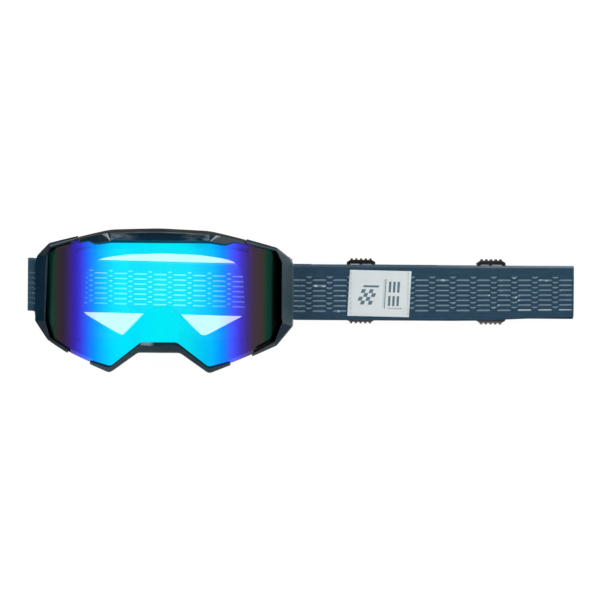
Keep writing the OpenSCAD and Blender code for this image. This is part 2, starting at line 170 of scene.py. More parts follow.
def stations(corners: Sequence[Sequence[float]], radius: float, step: float) -> list[tuple[float, ...]]:
    """Walks along a line of corners and rounds the inner ones.

    Args:
        corners: Values at each corner, of which the first two are its place.
        radius: How far from a corner its curve starts.
        step: Longest way between two stations.

    Returns:
        The values at each station.
    """
    def mixed(first: Sequence[float], second: Sequence[float], share: float) -> tuple[float, ...]:
        """Values between those of two corners."""
        return tuple(a + (b - a) * share for a, b in zip(first, second))
    found = []
    last = len(corners) - 2
    for k, (start, end) in enumerate(zip(corners, corners[1:])):
        size = math.dist(start[:2], end[:2])
        share = min(0.45, radius / size)
        low, high = (share if k else 0.0), (1 - share if k < last else 1.0)
        parts = max(1, math.ceil(size * (high - low) / step))
        found += [mixed(start, end, low + (high - low) * i / parts) for i in range(parts + 1)]
        if k < last:
            after = corners[k + 2]
            near = mixed(start, end, high)
            far = mixed(end, after, min(0.45, radius / math.dist(end[:2], after[:2])))
            found += [mixed(mixed(near, end, t), mixed(end, far, t), t) for t in (0.25, 0.5, 0.75)]
    return found


def held(x: float, low: float = 0.0, high: float = 1.0) -> float:
    """Keeps a number between two limits."""
    return min(max(x, low), high)


def eased(low: float, high: float, x: float) -> float:
    """Rises smoothly from 0 at low to 1 at high."""
    t = held((x - low) / (high - low))
    return t * t * (3 - 2 * t)


def anywhere(spot: Spot) -> bool:
    """Passes every part of a mesh."""
    return True


@dataclass(frozen=True)
class Barrel:
    """A surface of one radius about an axis along Y.

    Attributes:
        radius: Its radius.
        height: Height of its axis.
    """
    radius: float
    height: float

    def z(self, x: float, above: float = 0.0) -> float:
        """Height at x of the layer that lies above the surface by a distance along its radius."""
        return self.height + math.sqrt((self.radius + above) ** 2 - x * x)

    def drape(self, x: float, y: float, above: float) -> Spot:
        """Lays a point of a flat plate on the surface."""
        return x, y, self.z(x, above)


class Pick(Enum):
    """What an edit step acts on, with the name of its list in a mesh."""
    VERT = "vertices"
    EDGE = "edges"
    FACE = "polygons"


class Ends(Enum):
    """How a row of sections ends."""
    CAPPED = "capped"
    JOINED = "joined"


class Bench:
    """Modelling steps, each on one piece at a time. Lengths are in millimetres."""

    @staticmethod
    def take(*pieces: Piece) -> None:
        """Selects these pieces alone and makes the first one active."""
        bpy.ops.object.select_all(action="DESELECT")
        for piece in pieces:
            piece.select_set(True)
        bpy.context.view_layer.objects.active = pieces[0]

    @staticmethod
    def start(name: str, add: Callable[..., object], **settings: object) -> Piece:
        """Adds a primitive with nothing else selected, names it, and leaves its object at the origin.

        Args:
            name: Name of the new piece.
            add: The primitive's operator.
            settings: The operator's own.

        Returns:
            The new piece.
        """
        bpy.ops.object.select_all(action="DESELECT")
        add(**settings)
        piece = bpy.context.object
        piece.name = piece.data.name = name
        piece.matrix_world.identity()
        return piece

    @classmethod
    def edit(cls, piece: Piece, pick: Pick, test: Callable[[Spot], bool],
             step: Callable[[], object]) -> None:
        """Runs an edit step on the parts of a mesh whose middle passes a test.

        Args:
            piece: The piece to edit.
            pick: Whether vertices, edges or faces are picked.
            test: Takes the middle of a part, in millimetres.
            step: Runs the operators in edit mode.
        """
        cls.take(piece)
        bpy.ops.object.mode_set(mode="EDIT")
        bpy.ops.mesh.select_mode(type=pick.name)
        bpy.ops.mesh.select_all(action="DESELECT")
        bpy.ops.object.mode_set(mode="OBJECT")
        mesh = piece.data
        spots = [vertex.co / MM for vertex in mesh.vertices]
        for part in getattr(mesh, pick.value):
            corners = [spots[i] for i in part.vertices] if pick is not Pick.VERT else [spots[part.index]]
            part.select = bool(test(tuple(sum(corners, Vector()) / len(corners))))
        bpy.ops.object.mode_set(mode="EDIT")
        step()
        bpy.ops.object.mode_set(mode="OBJECT")

    @classmethod
    def close(cls, piece: Piece, holes: bool = False) -> None:
        """Merges doubled vertices, fills holes if asked, and turns all faces outwards.

        Args:
            piece: The piece to clean.
            holes: Whether open ends are filled.
        """
        def step() -> None:
            """Cleans the whole mesh."""
            bpy.ops.mesh.remove_doubles(threshold=0.002 * MM)
            if holes:
                bpy.ops.mesh.fill_holes(sides=0)
            bpy.ops.mesh.select_all(action="SELECT")
            bpy.ops.mesh.normals_make_consistent(inside=False)
        cls.edit(piece, Pick.VERT, anywhere, step)

    @classmethod
    def slab(cls, name: str, outline: Sequence[Flat], low: float, high: float) -> Piece:
        """Makes a flat plate with upright sides from a filled circle whose rim takes an outline.

        Args:
            name: Name of the piece.
            outline: Points of the rim.
            low: Height of the lower face.
            high: Height of the upper face.

        Returns:
            The plate.
        """
        piece = cls.start(name, bpy.ops.mesh.primitive_circle_add, vertices=len(outline), radius=MM,
                          fill_type="NGON")
        for vertex, (x, y) in zip(piece.data.vertices, outline):
            vertex.co = x * MM, y * MM, low * MM
        rise = {"value": (0, 0, (high - low) * MM)}
        cls.edit(piece, Pick.FACE, anywhere,
                 lambda: bpy.ops.mesh.extrude_region_move(TRANSFORM_OT_translate=rise))
        cls.close(piece)
        return piece

    @classmethod
    def cut(cls, piece: Piece, places: Sequence[float]) -> None:
        """Cuts all faces along planes square to the X axis, at these places in x.

        Args:
            piece: The piece to cut.
            places: Where the planes are.
        """
        def step() -> None:
            """Cuts once for each place."""
            for x in places:
                bpy.ops.mesh.select_all(action="SELECT")
                bpy.ops.mesh.bisect(plane_co=(x * MM, 0, 0), plane_no=(1, 0, 0))
        cls.edit(piece, Pick.VERT, anywhere, step)

    @staticmethod
    def paint(piece: Piece, choose: Callable[[Spot, int], int]) -> None:
        """Gives each face the material number chosen from its middle, in millimetres, and its old number."""
        for face in piece.data.polygons:
            face.material_index = choose(tuple(face.center / MM), face.material_index)

    @staticmethod
    def shape(piece: Piece, move: Callable[[float, float, float], Spot]) -> None:
        """Moves every vertex, from and to millimetres."""
        for vertex in piece.data.vertices:
            vertex.co = Vector(move(*(vertex.co / MM))) * MM

    @classmethod
    def loft(cls, name: str, rows: Sequence[Sequence[Spot]], ends: Ends = Ends.CAPPED,
             chart: Callable[[int, int], Flat] | None = None,
             paint: Callable[[int, int], int] | None = None) -> Piece:
        """Makes a closed skin over sections, from a grid whose rows take the sections.

        Args:
            name: Name of the piece.
            rows: Closed sections, each with as many points.
            ends: Whether the end sections are capped or joined to each other.
            chart: Gives the UV place, in metres, of a row and a column.
            paint: Gives the material number of the face after a row and a column.

        Returns:
            The skin.
        """
        count = len(rows[0])
        piece = cls.start(name, bpy.ops.mesh.primitive_grid_add, x_subdivisions=count,
                          y_subdivisions=len(rows) - 1, size=MM)
        spots = [spot for row in rows for spot in (*row, row[0])]
        for vertex, spot in zip(piece.data.vertices, spots):
            vertex.co = Vector(spot) * MM
        if chart:
            layer = piece.data.uv_layers[0].data
            for loop in piece.data.loops:
                layer[loop.index].uv = chart(*divmod(loop.vertex_index, count + 1))
        if paint:
            for face in piece.data.polygons:
                face.material_index = paint(*divmod(face.index, count))
        cls.close(piece, holes=ends is Ends.CAPPED)
        return piece

    @classmethod
    def apply(cls, piece: Piece, kind: str, **settings: object) -> None:
        """Adds a modifier with its settings and applies it.

        Args:
            piece: The piece to change.
            kind: The modifier's type.
            settings: Its settings by name.
        """
        cls.take(piece)
        modifier = piece.modifiers.new(kind.lower(), kind)
        for key, value in settings.items():
            setattr(modifier, key, value)
        bpy.ops.object.modifier_apply(modifier=modifier.name)

    @classmethod
    def soften(cls, piece: Piece, width: float, angle: float = 30.0) -> None:
        """Rounds every edge that turns by more than an angle."""
        cls.apply(piece, "BEVEL", width=width * MM, segments=2, limit_method="ANGLE",
                  angle_limit=math.radians(angle), use_clamp_overlap=True, miter_outer="MITER_ARC")

    @classmethod
    def smooth(cls, piece: Piece, angle: float = 35.0) -> None:
        """Shades a piece smooth where its faces turn by less than an angle."""
        cls.take(piece)
        bpy.ops.object.shade_smooth_by_angle(angle=math.radians(angle))

    @classmethod
    def join(cls, *pieces: Piece) -> Piece:
        """Joins pieces into the first one, which keeps its name."""
        cls.take(*pieces)
        bpy.ops.object.join()
        return pieces[0]

    @classmethod
    def copy_of(cls, node: str, name: str) -> Piece:
        """Copies a node of the model into a new piece and merges its loose triangles.

        Args:
            node: Name of the node.
            name: Name of the new piece.

        Returns:
            The new piece.
        """
        cls.take(frame["nodes"][node])
        bpy.ops.object.duplicate()
        piece = bpy.context.object
        piece.parent = None
        for key in list(piece.keys()):
            if key.startswith("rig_"):
                del piece[key]
        piece.name = piece.data.name = name
        cls.close(piece)
        return piece

    @staticmethod
    def place(piece: Piece, node: str, body: str = "goggles") -> Piece:
        """Hides a node of the model, for the piece to stand in for it, and puts the piece on the node's body.
        """
        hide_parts(node)
        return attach(piece, body)


def arithmetic(kind: str, swapped: bool = False) -> "Callable[..., Signal]":
    """Makes a method of Signal that adds a Math node.

    Args:
        kind: The node's operation.
        swapped: Whether the other value comes first.

    Returns:
        The method.
    """
    def method(self: "Signal", *others: "Signal | float") -> "Signal":
        """Adds the node to the signal's board."""
        values = (*others, self) if swapped else (self, *others)
        return self.board.add("ShaderNodeMath", {"operation": kind}, dict(enumerate(values)))
    return method


class Signal:
    """A shader socket that takes part in sums written as Python expressions.

    whole() is the next whole number down, part() what is left over it, and wave() the sine of radians.
    """
    __add__ = __radd__ = arithmetic("ADD")
    __sub__, __rsub__ = arithmetic("SUBTRACT"), arithmetic("SUBTRACT", swapped=True)
    __mul__ = __rmul__ = arithmetic("MULTIPLY")
    __truediv__, __rtruediv__ = arithmetic("DIVIDE"), arithmetic("DIVIDE", swapped=True)
    __pow__, __abs__ = arithmetic("POWER"), arithmetic("ABSOLUTE")
    __gt__, __lt__ = arithmetic("GREATER_THAN"), arithmetic("LESS_THAN")
    whole, part, wave = arithmetic("FLOOR"), arithmetic("FRACT"), arithmetic("SINE")

    def __init__(self, board: "Board", socket: bpy.types.NodeSocket) -> None:
        """Keeps the socket and the board that it is on."""
        self.board = board
        self.socket = socket

    def clear(self) -> "Signal":
        """Kept between 0 and 1."""
        return self.board.add("ShaderNodeClamp", {}, {0: self})

    def step(self, low: float, high: float) -> "Signal":
        """Rises smoothly from 0 at low to 1 at high."""
        settings = {"interpolation_type": "SMOOTHSTEP"}
        return self.board.add("ShaderNodeMapRange", settings, {0: self, 1: low, 2: high})


class Board:
    """The nodes of one material or of the world."""

    def __init__(self, tree: bpy.types.NodeTree) -> None:
        """Clears the tree."""
        self.tree = tree
        tree.nodes.clear()

    def add(self, kind: str, settings: dict[str, object] | None = None,
            values: dict[int | str, object] | None = None, output: int | str = 0) -> Signal:
        """Adds a node.

        Args:
            kind: The node's type.
            settings: What is set on the node first; "stops" sets a ramp's stops.
            values: Numbers, colours or signals for its sockets, by number or name.
            output: Which output is wanted.

        Returns:
            The output as a signal.
        """
        node = self.tree.nodes.new(kind)
        for key, value in (settings or {}).items():
            if key == "stops":
                self._set_stops(node.color_ramp, value)
            else:
                setattr(node, key, value)
        for key, value in (values or {}).items():
            self.feed(node.inputs[key], value)
        return Signal(self, node.outputs[output])

    def feed(self, socket: bpy.types.NodeSocket, value: object) -> None:
        """Links a signal to a socket, or sets a plain value on it.

        Args:
            socket: The socket to feed.
            value: A signal, number, colour or vector.
        """
        if isinstance(value, Signal):
            self.tree.links.new(value.socket, socket)
        elif isinstance(value, tuple) and len(value) == 3 and socket.type == "RGBA":
            socket.default_value = (*value, 1)
        else:
            socket.default_value = value

    @staticmethod
    def _set_stops(ramp: bpy.types.ColorRamp, stops: Sequence[tuple[float, Colour]]) -> None:
        """Sets a ramp's stops, each a place and a colour."""
        while len(ramp.elements) < len(stops):
            ramp.elements.new(1)
        for element, (place, colour) in zip(ramp.elements, stops):
            element.position = place
            element.color = (*colour, 1)

    def place(self) -> Signal:
        """Object coordinates."""
        return self.add("ShaderNodeTexCoord", output="Object")

    def axes(self, vector: Signal) -> tuple[Signal, Signal, Signal]:
        """The three parts of a vector."""
        first = self.add("ShaderNodeSeparateXYZ", {}, {0: vector})
        outputs = first.socket.node.outputs
        return first, Signal(self, outputs[1]), Signal(self, outputs[2])

    def stretched(self, vector: Signal, scale: Spot) -> Signal:
        """Scales a vector along each axis."""
        return self.add("ShaderNodeVectorMath", {"operation": "MULTIPLY"}, {0: vector, 1: scale})

    def noise(self, vector: Signal, size: float, detail: float = 2.0) -> Signal:
        """Soft noise with lumps of about a size in metres."""
        return self.add("ShaderNodeTexNoise", {}, {"Vector": vector, "Scale": 1 / size, "Detail": detail})

    def mix(self, share: "Signal | float", first: object, second: object) -> Signal:
        """Mixes two colours."""
        return self.add("ShaderNodeMix", {"data_type": "RGBA"}, {0: share, 6: first, 7: second}, 2)

    def bump(self, height: Signal, depth: float) -> Signal:
        """Normal of a surface raised by a height of 0 to 1, times a depth in metres."""
        return self.add("ShaderNodeBump", {}, {"Height": height, "Distance": depth, "Strength": 1.0})

    def surface(self, **values: object) -> None:
        """Ends the tree in one Principled shader; underscores in a name stand for spaces."""
        shader = self.add("ShaderNodeBsdfPrincipled", {}, {k.replace("_", " "): v for k, v in values.items()})
        self.end(shader)

    def end(self, shader: Signal, kind: str = "ShaderNodeOutputMaterial") -> None:
        """Links a shader to the tree's output."""
        node = self.tree.nodes.new(kind)
        self.feed(node.inputs["Surface"], shader)


@dataclass(frozen=True)
class Finish:
    """A material and the record's slot that it belongs to.

    Attributes:
        name: Name of the material.
        slot: Slot of the record; not used.
    """
    name: str
    slot: str

    def paint(self, board: Board) -> None:
        """Draws the material's nodes on its board, as each kind of finish does in its own way."""
        raise NotImplementedError

    def made(self) -> bpy.types.Material:
        """Makes the material once and returns it."""
        found = bpy.data.materials.get(self.name)
        if found is None:
            found = bpy.data.materials.new(self.name)
            found.use_nodes = True
            self.paint(Board(found.node_tree))
        return found

    def dress(self, piece: Piece, *more: "Finish") -> None:
        """Gives a piece this finish, and more finishes for its faces with a higher material number.

        Args:
            piece: The piece to dress.
            more: Finishes for the numbers from 1 up.
        """
        slots = piece.data.materials
        if slots:
            slots[0] = self.made()
        else:
            slots.append(self.made())
        for other in more:
            slots.append(other.made())


@dataclass(frozen=True)
class Plastic(Finish):
    """Moulded plastic with a fine spark grain, soft clouds in its gloss, a few worn hairlines and, where
    asked, painted highlights on parts that stand out.

    Attributes:
        colour, light: Main colour, and the colour where the surface is paler.
        rough, gloss: Roughness and specular level of the surface.
        grain, depth: Size and depth of the grain in metres.
        highlight_tips: Colour of painted highlights on the parts that stand out at the strap's lower edge,
            and less at its upper edge.
    """
    colour: Colour
    light: Colour
    rough: float = 0.42
    gloss: float = 0.3
    grain: float = 0.0005
    depth: float = 0.00004
    highlight_tips: Colour | None = None

    def paint(self, board: Board) -> None:
        """Draws the material's nodes."""
        place = board.place()
        cloud = board.noise(place, 0.018, 3.0)
        grain = board.noise(place, self.grain, 1.0)
        hairs = board.noise(board.stretched(place, (0.08, 1.0, 1.0)), 0.0011, 4.0).step(0.66, 0.72)
        colour = board.mix(cloud.step(0.3, 0.75), self.colour, self.light)
        # Painted highlights on the parts that stand out at the strap's edges.
        if self.highlight_tips:
            _, y, _ = board.axes(place)
            lower, upper = 1 - y.step(-0.0228, -0.0198), y.step(0.0215, 0.0235)
            tip_highlight = lower + 0.45 * upper
            colour = board.mix(tip_highlight * (0.55 + 0.6 * cloud), colour, self.highlight_tips)
        board.surface(
            Base_Color=colour,
            Roughness=self.rough + 0.14 * (cloud - 0.5) + 0.1 * hairs,
            Specular_IOR_Level=self.gloss, Normal=board.bump(grain - 0.3 * hairs, self.depth))


@dataclass(frozen=True)
class RecessPlastic(Finish):
    """Dark gloss plastic with grey streaks in places along X, which are painted sheen: reflections painted
    into its colour.

    Attributes:
        colour: Main colour.
        painted_sheen: Colour of the painted sheen streaks.
        spans: For each place, the x where its streaks start, are full, start to fade and end, in metres.
        even: Share of a place that is grey between its streaks too.
        gloss: Specular level of the surface.
    """
    colour: Colour
    painted_sheen: Colour
    spans: tuple[tuple[float, float, float, float], ...]
    even: float = 0.0
    gloss: float = 0.12

    def paint(self, board: Board) -> None:
        """Draws the material's nodes."""
        place = board.place()
        x, _, _ = board.axes(place)
        # Painted sheen: grey streaks that stand in for reflections.
        streak = board.noise(board.stretched(place, (0.1, 1.0, 1.0)), 0.0017)
        share = sum(x.step(start, full) * (1 - x.step(fade, end)) for start, full, fade, end in self.spans)
        share = share * (self.even + (1 - self.even) * streak.step(0.3, 0.65))
        board.surface(
            Base_Color=board.mix(share, self.colour, self.painted_sheen), Roughness=0.18 + 0.2 * share,
            Specular_IOR_Level=self.gloss, Coat_Weight=0.6 * self.gloss, Coat_Roughness=0.05,
            Normal=board.bump(board.noise(place, 0.0009, 1.0), 0.000008))


@dataclass(frozen=True)
class CrestHighlightPlastic(Finish):
    """Plastic at an end of the brow recess, with a pale crest that fades outwards: a painted highlight.

    Attributes:
        inside, outside, pale: Colours of the recess, of the lobe beyond the crest, painted shaded on the left
            and lit on the right as the lobes are, and of the painted highlight on the crest.
        foot: Distance from the middle, and y, where the crest starts, in metres.
        slope, fan: How far outwards the crest's inner and outer sides run for its height.
    """
    inside: Colour
    outside: Colour
    pale: Colour
    foot: Flat
    slope: float
    fan: float

    def paint(self, board: Board) -> None:
        """Draws the material's nodes."""
        place = board.place()
        x, y, _ = board.axes(place)
        mottle = board.noise(place, 0.0015, 3.0)
        side, up = abs(x) - self.foot[0], y - self.foot[1]
        inner = side - self.slope * up
        lobe = inner.step(-0.0002, 0.0002)
        # Painted highlight: a pale ridge along the crest and a paler face beyond it.
        ridge = lobe * (1 - inner.step(0.0004, 0.0014)) * up.step(-0.0008, 0.0004)
        face = lobe * (self.fan * up - side).step(-0.0004, 0.0012) * (0.35 + 0.4 * mottle)
        ground = board.mix(lobe, self.inside, self.outside)
        board.surface(
            Base_Color=board.mix((ridge + face).clear(), ground, self.pale),
            Roughness=0.34 + 0.1 * mottle, Specular_IOR_Level=0.12, Normal=board.bump(mottle, 0.00002))


@dataclass(frozen=True)
class MirrorCoating(Finish):
    """Half transparent mirror coating, whose colour runs from cyan in the middle to green at the temples. The
    colour is painted reflection: a ramp by x paints what the coating reflects towards a camera above, and
    emission makes the lens glow though it is no lamp.

    Attributes:
        left: Stops of the left half, each x in millimetres and a colour, from the edge inwards.
        right: Stops of the right half, from the middle outwards.
        cover: Share of the light that each face of the lens stops over the eyes.
        dense_cover: The same share over the foam, where the coating is nearly opaque so that its painted glow
            covers what lies behind it.
        glow: Strength of the emission that paints the reflected colour over the eyes, so that the lens glows
            though it is no lamp.
        black_x: Place in x where the right side turns black, as painted shade.
        nose_glow_boost: How much brighter the painted glow is over the nose.
    """
    left: tuple[tuple[float, Colour], ...]
    right: tuple[tuple[float, Colour], ...]
    cover: float = 0.22
    dense_cover: float = 0.96
    glow: float = 2.0
    black_x: float = 78.0
    nose_glow_boost: float = 0.13

    def colour(self, board: Board, x: Signal) -> Signal:
        """The two halves' colours by x in metres.

        Args:
            board: Where the nodes go.
            x: Place across the lens.

        Returns:
            The colour.
        """
        stops = self.left + self.right
        low, high = stops[0][0], stops[-1][0]
        half = len(self.left)
        share = (x / MM - low) / (high - low)
        ramps = [board.add("ShaderNodeValToRGB", {
            "stops": [((place - low) / (high - low), colour) for place, colour in group]}, {0: share})
            for group in (stops[:half + 1], stops[half:])]
        return board.mix(share > (stops[half][0] - low) / (high - low), *ramps)

    def paint(self, board: Board) -> None:
        """Draws the material's nodes."""
        place = board.place()
        x, y, _ = board.axes(place)
        haze = board.noise(place, 0.03)
        over_eyes = (1 - abs(x).step(0.058, 0.063)) * y.step(-0.038, -0.033) * (1 - y.step(0.0265, 0.030))
        beside_nose = (y + 1.04 * abs(x)).step(-0.0075, -0.0045)
        over_eyes = over_eyes * (1 - (1 - beside_nose) * (1 - y.step(-0.0155, -0.0125)))
        cover = self.dense_cover - (self.dense_cover - self.cover) * over_eyes
        # Painted shade: the coating turns opaque and near black by the outriggers.
        black = self.black(x, y)
        cover = cover + (1 - cover) * black
        stopped = 1 - (1 - cover) * (1 - cover)
        level = (1 - (1 - self.cover) ** 2) / stopped
        # Painted reflection: the ramp's colour is emitted, brighter over the nose, and as bright where the
        # lens covers more.
        over_nose = self.nose_glow_boost * (1 - over_eyes) * (1 - abs(x).step(0.012, 0.028))
        level = level * (1 + over_nose) * (1 - 0.97 * black)
        colour = self.colour(board, x)
        dimmed = board.add("ShaderNodeVectorMath", {"operation": "SCALE"}, {0: colour, "Scale": level})
        board.surface(
            Base_Color=dimmed, Metallic=0.7, Roughness=0.2 + 0.04 * (haze - 0.5), Alpha=cover,
            Emission_Color=dimmed, Emission_Strength=self.glow, Specular_IOR_Level=0.0,
            Coat_Weight=0.02, Coat_Roughness=0.05)

    def black(self, x: Signal, y: Signal) -> Signal:
        """1 where shade is painted black on the coating: at the right temple, and along both lower corners by
        the outriggers' legs.
        """
        lean = 0.0008 * (2 * (x > 0) - 1)
        temple = x.step((self.black_x - 1) * MM, (self.black_x + 1) * MM)
        corner = (0.9219 * abs(x) - 0.3872 * y + lean).step(0.0839, 0.0847)
        leg = (0.4735 * abs(x) - 0.8809 * y + lean).step(0.0671, 0.0679) * abs(x).step(0.0655, 0.0675)
        return 1 - (1 - temple) * (1 - corner) * (1 - leg)


@dataclass(frozen=True)
class Woven(Finish):
    """Woven narrow fabric, drawn on its own UV map in metres: u along the piece, v across it.

    Attributes:
        colour, gap: Colour of the floats of yarn, and between them, where the darker colour is painted shade.
        edge: Colour of the upper selvage, a painted highlight where light falls on the top edge.
        half: Half of the width of the fabric in metres.
        float_long, float_wide: Length and width of a float in metres.
    """
    colour: Colour
    gap: Colour
    edge: Colour
    half: float = 0.0193
    float_long: float = 0.0016
    float_wide: float = 0.0008

    def paint(self, board: Board) -> None:
        """Draws rows of pillow-shaped floats, each row half a float on from the last, painted darker where
        they dip, and a painted highlight along the upper selvage.
        """
        chart = board.add("ShaderNodeTexCoord", output="UV")
        u, v, _ = board.axes(chart)
        row = v / self.float_wide
        run = u / self.float_long + 0.5 * row.whole()
        across, length = 2 * row.part() - 1, 2 * run.part() - 1
        height = (1 - across * across) * (1 - length * length)
        heather = board.noise(board.stretched(chart, (0.25, 1.0, 1.0)), 0.0022, 3.0)
        fuzz = board.noise(chart, 0.0003)
        # Painted shade: the yarn darkens where the floats dip.
        tone = (height ** 0.5) * (0.55 + 0.9 * heather)
        yarn = board.mix(tone.clear(), self.gap, self.colour)
        # Painted highlight along the upper selvage.
        selvage = v.step(self.half - 0.0022, self.half - 0.0008) * (0.2 + 0.8 * u.step(0.1, 0.25))
        board.surface(
            Base_Color=board.mix(selvage * (0.6 + 0.6 * heather), yarn, self.edge),
            Roughness=0.85 - 0.1 * height, Specular_IOR_Level=0.15,
            Normal=board.bump(height + 0.35 * fuzz, 0.00016))


@dataclass(frozen=True)
class Silicone(Finish):
    """Printed silicone with a paler line along its upper edge, which is a painted highlight, worn bright in
    places.

    Attributes:
        colour, crest, worn: Colours of the print, of the painted highlight along its upper edge and where it
            is worn.
        bright: Place in x past which, and place in y below which, the painted highlight along the dashes'
            upper edges is brighter still, if any.
    """
    colour: Colour
    crest: Colour
    worn: Colour
    bright: Flat | None = None

    def paint(self, board: Board) -> None:
        """Draws the material's nodes."""
        place = board.place()
        _, v, _ = board.axes(board.add("ShaderNodeTexCoord", output="UV"))
        mottle = board.noise(place, 0.006, 4.0)
        speck = board.noise(place, 0.0006)
        x, y, _ = board.axes(place)
        ribs = 0.78 + 0.22 * ((x + 0.6 * y) * (2 * math.pi / 0.0015)).wave()
        # Painted highlight along the upper edge of each dash.
        line = v.step(0.3, 0.48) * (1 - v.step(0.78, 0.96)) * (0.6 + 0.8 * mottle).clear() * ribs
        body = board.mix(line.clear(), self.colour, self.crest)
        worn = (mottle + 0.3 * speck).step(0.78, 0.9)
        # Past that place the highlight line is painted brighter still.
        if self.bright:
            from_x, below_y = self.bright
            row = x.step(from_x, from_x + 0.004) * (1 - y.step(below_y, below_y + 0.001))
            worn = (worn + row * line * (mottle + speck).step(0.65, 0.85)).clear()
        board.surface(
            Base_Color=board.mix(worn, body, self.worn),
            Roughness=0.4 + 0.2 * mottle, Specular_IOR_Level=0.35, Normal=board.bump(speck, 0.00006))


@dataclass(frozen=True)
class Foam(Finish):
    """Open foam with cells.

    Attributes:
        colour, hollow: Colour of the foam's struts, and inside its cells, where the darker colour is painted
            shade.
        cell, depth: Size and depth of a cell in metres.
    """
    colour: Colour
    shaded_hollow: Colour
    cell: float = 0.0009
    depth: float = 0.0003

    def paint(self, board: Board) -> None:
        """Draws the material's nodes."""
        place = board.place()
        cell = board.add("ShaderNodeTexVoronoi", {}, {"Vector": place, "Scale": 1 / self.cell})
        patch = board.noise(place, 0.012, 3.0)
        # Painted shade: the cells darken towards their middles.
        board.surface(
            Base_Color=board.mix(((1 - cell) * (0.7 + 0.6 * patch)).clear(), self.colour, self.shaded_hollow),
            Roughness=0.95 - 0.05 * cell, Specular_IOR_Level=0.1,
            Normal=board.bump(cell + 0.3 * patch, self.depth))


@dataclass(frozen=True)
class Fleece(Finish):
    """Brushed fleece with tufts.

    Attributes:
        colour, deep: Colour of the tufts, and between them, where the darker colour is painted shade.
    """
    colour: Colour
    deep: Colour

    def paint(self, board: Board) -> None:
        """Draws the material's nodes."""
        place = board.place()
        tuft = board.noise(place, 0.0016, 4.0)
        hair = board.noise(board.stretched(place, (1.0, 0.35, 1.0)), 0.00035)
        # Painted shade: the fleece darkens between its tufts.
        board.surface(
            Base_Color=board.mix((0.7 * tuft + 0.5 * hair).step(0.35, 0.85), self.deep, self.colour),
            Roughness=1.0 - 0.05 * hair, Specular_IOR_Level=0.1, Sheen_Weight=0.2, Sheen_Roughness=0.5,
            Normal=board.bump(tuft + 0.6 * hair, 0.0004))


@dataclass(frozen=True)
class WovenLabel(Finish):
    """White woven label with a generic print, on its UV map in metres from its lower left corner.

    Attributes:
        ground: Colour of the label.
        ink: Colour of the print.
        square: Side of a square of the slanted patch, in metres.
        ruler: Lowest and highest place of the rule, in metres.
        column: Left and right side of the rows of strokes, in metres.
    """
    ground: Colour
    ink: Colour
    square: float = 0.0028
    ruler: Flat = (0.0058, 0.0272)
    column: Flat = (0.0288, 0.0378)

    @staticmethod
    def block(u: Signal, v: Signal, across: Flat, along_v: Flat) -> Signal:
        """1 inside a rectangle, given by its two sides and by its foot and top, in metres."""
        return (u > across[0]) * (u < across[1]) * (v > along_v[0]) * (v < along_v[1])

    def paint(self, board: Board) -> None:
        """Draws the material's nodes."""
        chart = board.add("ShaderNodeTexCoord", output="UV")
        u, v, _ = board.axes(chart)
        side = self.square
        slant = u - 0.35 * v
        parity = (0.5 * ((slant / side).whole() + (v / side).whole())).part() > 0.25
        checks = parity * self.block(slant, v, (side, 5 * side), (3 * side, 7 * side))
        bar = self.block(slant, v, (side, 5 * side), (7.5 * side, 8 * side))
        rule = self.block(u, v, (0.0263, 0.0268), self.ruler)
        ticks = self.block(u, v, (0.0250, 0.0263), self.ruler) * ((v / 0.0014).part() > 0.75)
        strokes = ((u - self.column[0]) / 0.0031).part() < 0.55
        lower = self.block(u, v, self.column, (0.0078, 0.0150))
        rows = lower + self.block(u, v, self.column, (0.0176, 0.0254))
        foot = self.block(u, v, (self.column[0], 0.0395), (0.0056, 0.0065)) * ((u / 0.0008).part() > 0.5)
        print_mask = (checks + bar + rule + ticks + strokes * rows + foot).clear()
        rib = (v * (2 * math.pi / 0.00055)).wave()
        cross = (u * (2 * math.pi / 0.0009)).wave()
        grime = board.noise(chart, 0.008, 3.0)
        worn = board.noise(chart, 0.0007)
        ground = board.mix(0.35 * grime.step(0.4, 0.8), self.ground, tuple(0.86 * c for c in self.ground))
        board.surface(
            Base_Color=board.mix(print_mask * (0.82 + 0.2 * worn), ground, self.ink),
            Roughness=0.7 + 0.1 * worn, Specular_IOR_Level=0.3, Sheen_Weight=0.1,
            Normal=board.bump(0.5 * rib + 0.3 * cross + 0.4 * print_mask, 0.00005))


@dataclass(frozen=True)
class Thread(Finish):
    """Twisted sewing thread, painted darker in the grooves of its twist as shade.

    Attributes:
        colour: Colour of the thread.
    """
    colour: Colour

    def paint(self, board: Board) -> None:
        """Draws the material's nodes."""
        place = board.place()
        x, y, z = board.axes(place)
        twist = ((x + y + z) * (2 * math.pi / 0.0005)).wave()
        fuzz = board.noise(place, 0.0002)
        # Painted shade: the thread darkens in the grooves of its twist.
        dark = tuple(0.45 * c for c in self.colour)
        board.surface(
            Base_Color=board.mix((0.5 + 0.5 * twist) * (0.6 + 0.5 * fuzz), dark, self.colour),
            Roughness=0.75 + 0.1 * fuzz, Specular_IOR_Level=0.3, Sheen_Weight=0.2,
            Normal=board.bump(twist + 0.4 * fuzz, 0.00004))


@dataclass(frozen=True)
class Steel(Finish):
    """Ground steel rod, with its marks round the rod.

    Attributes:
        colour: Colour of the metal.
    """
    colour: Colour

    def paint(self, board: Board) -> None:
        """Draws the material's nodes."""
        place = board.place()
        marks = board.noise(board.stretched(place, (0.05, 1.0, 0.05)), 0.0003)
        board.surface(
            Base_Color=board.mix(marks, self.colour, tuple(0.7 * c for c in self.colour)), Metallic=1.0,
            Roughness=0.25 + 0.15 * marks, Normal=board.bump(marks, 0.00001))


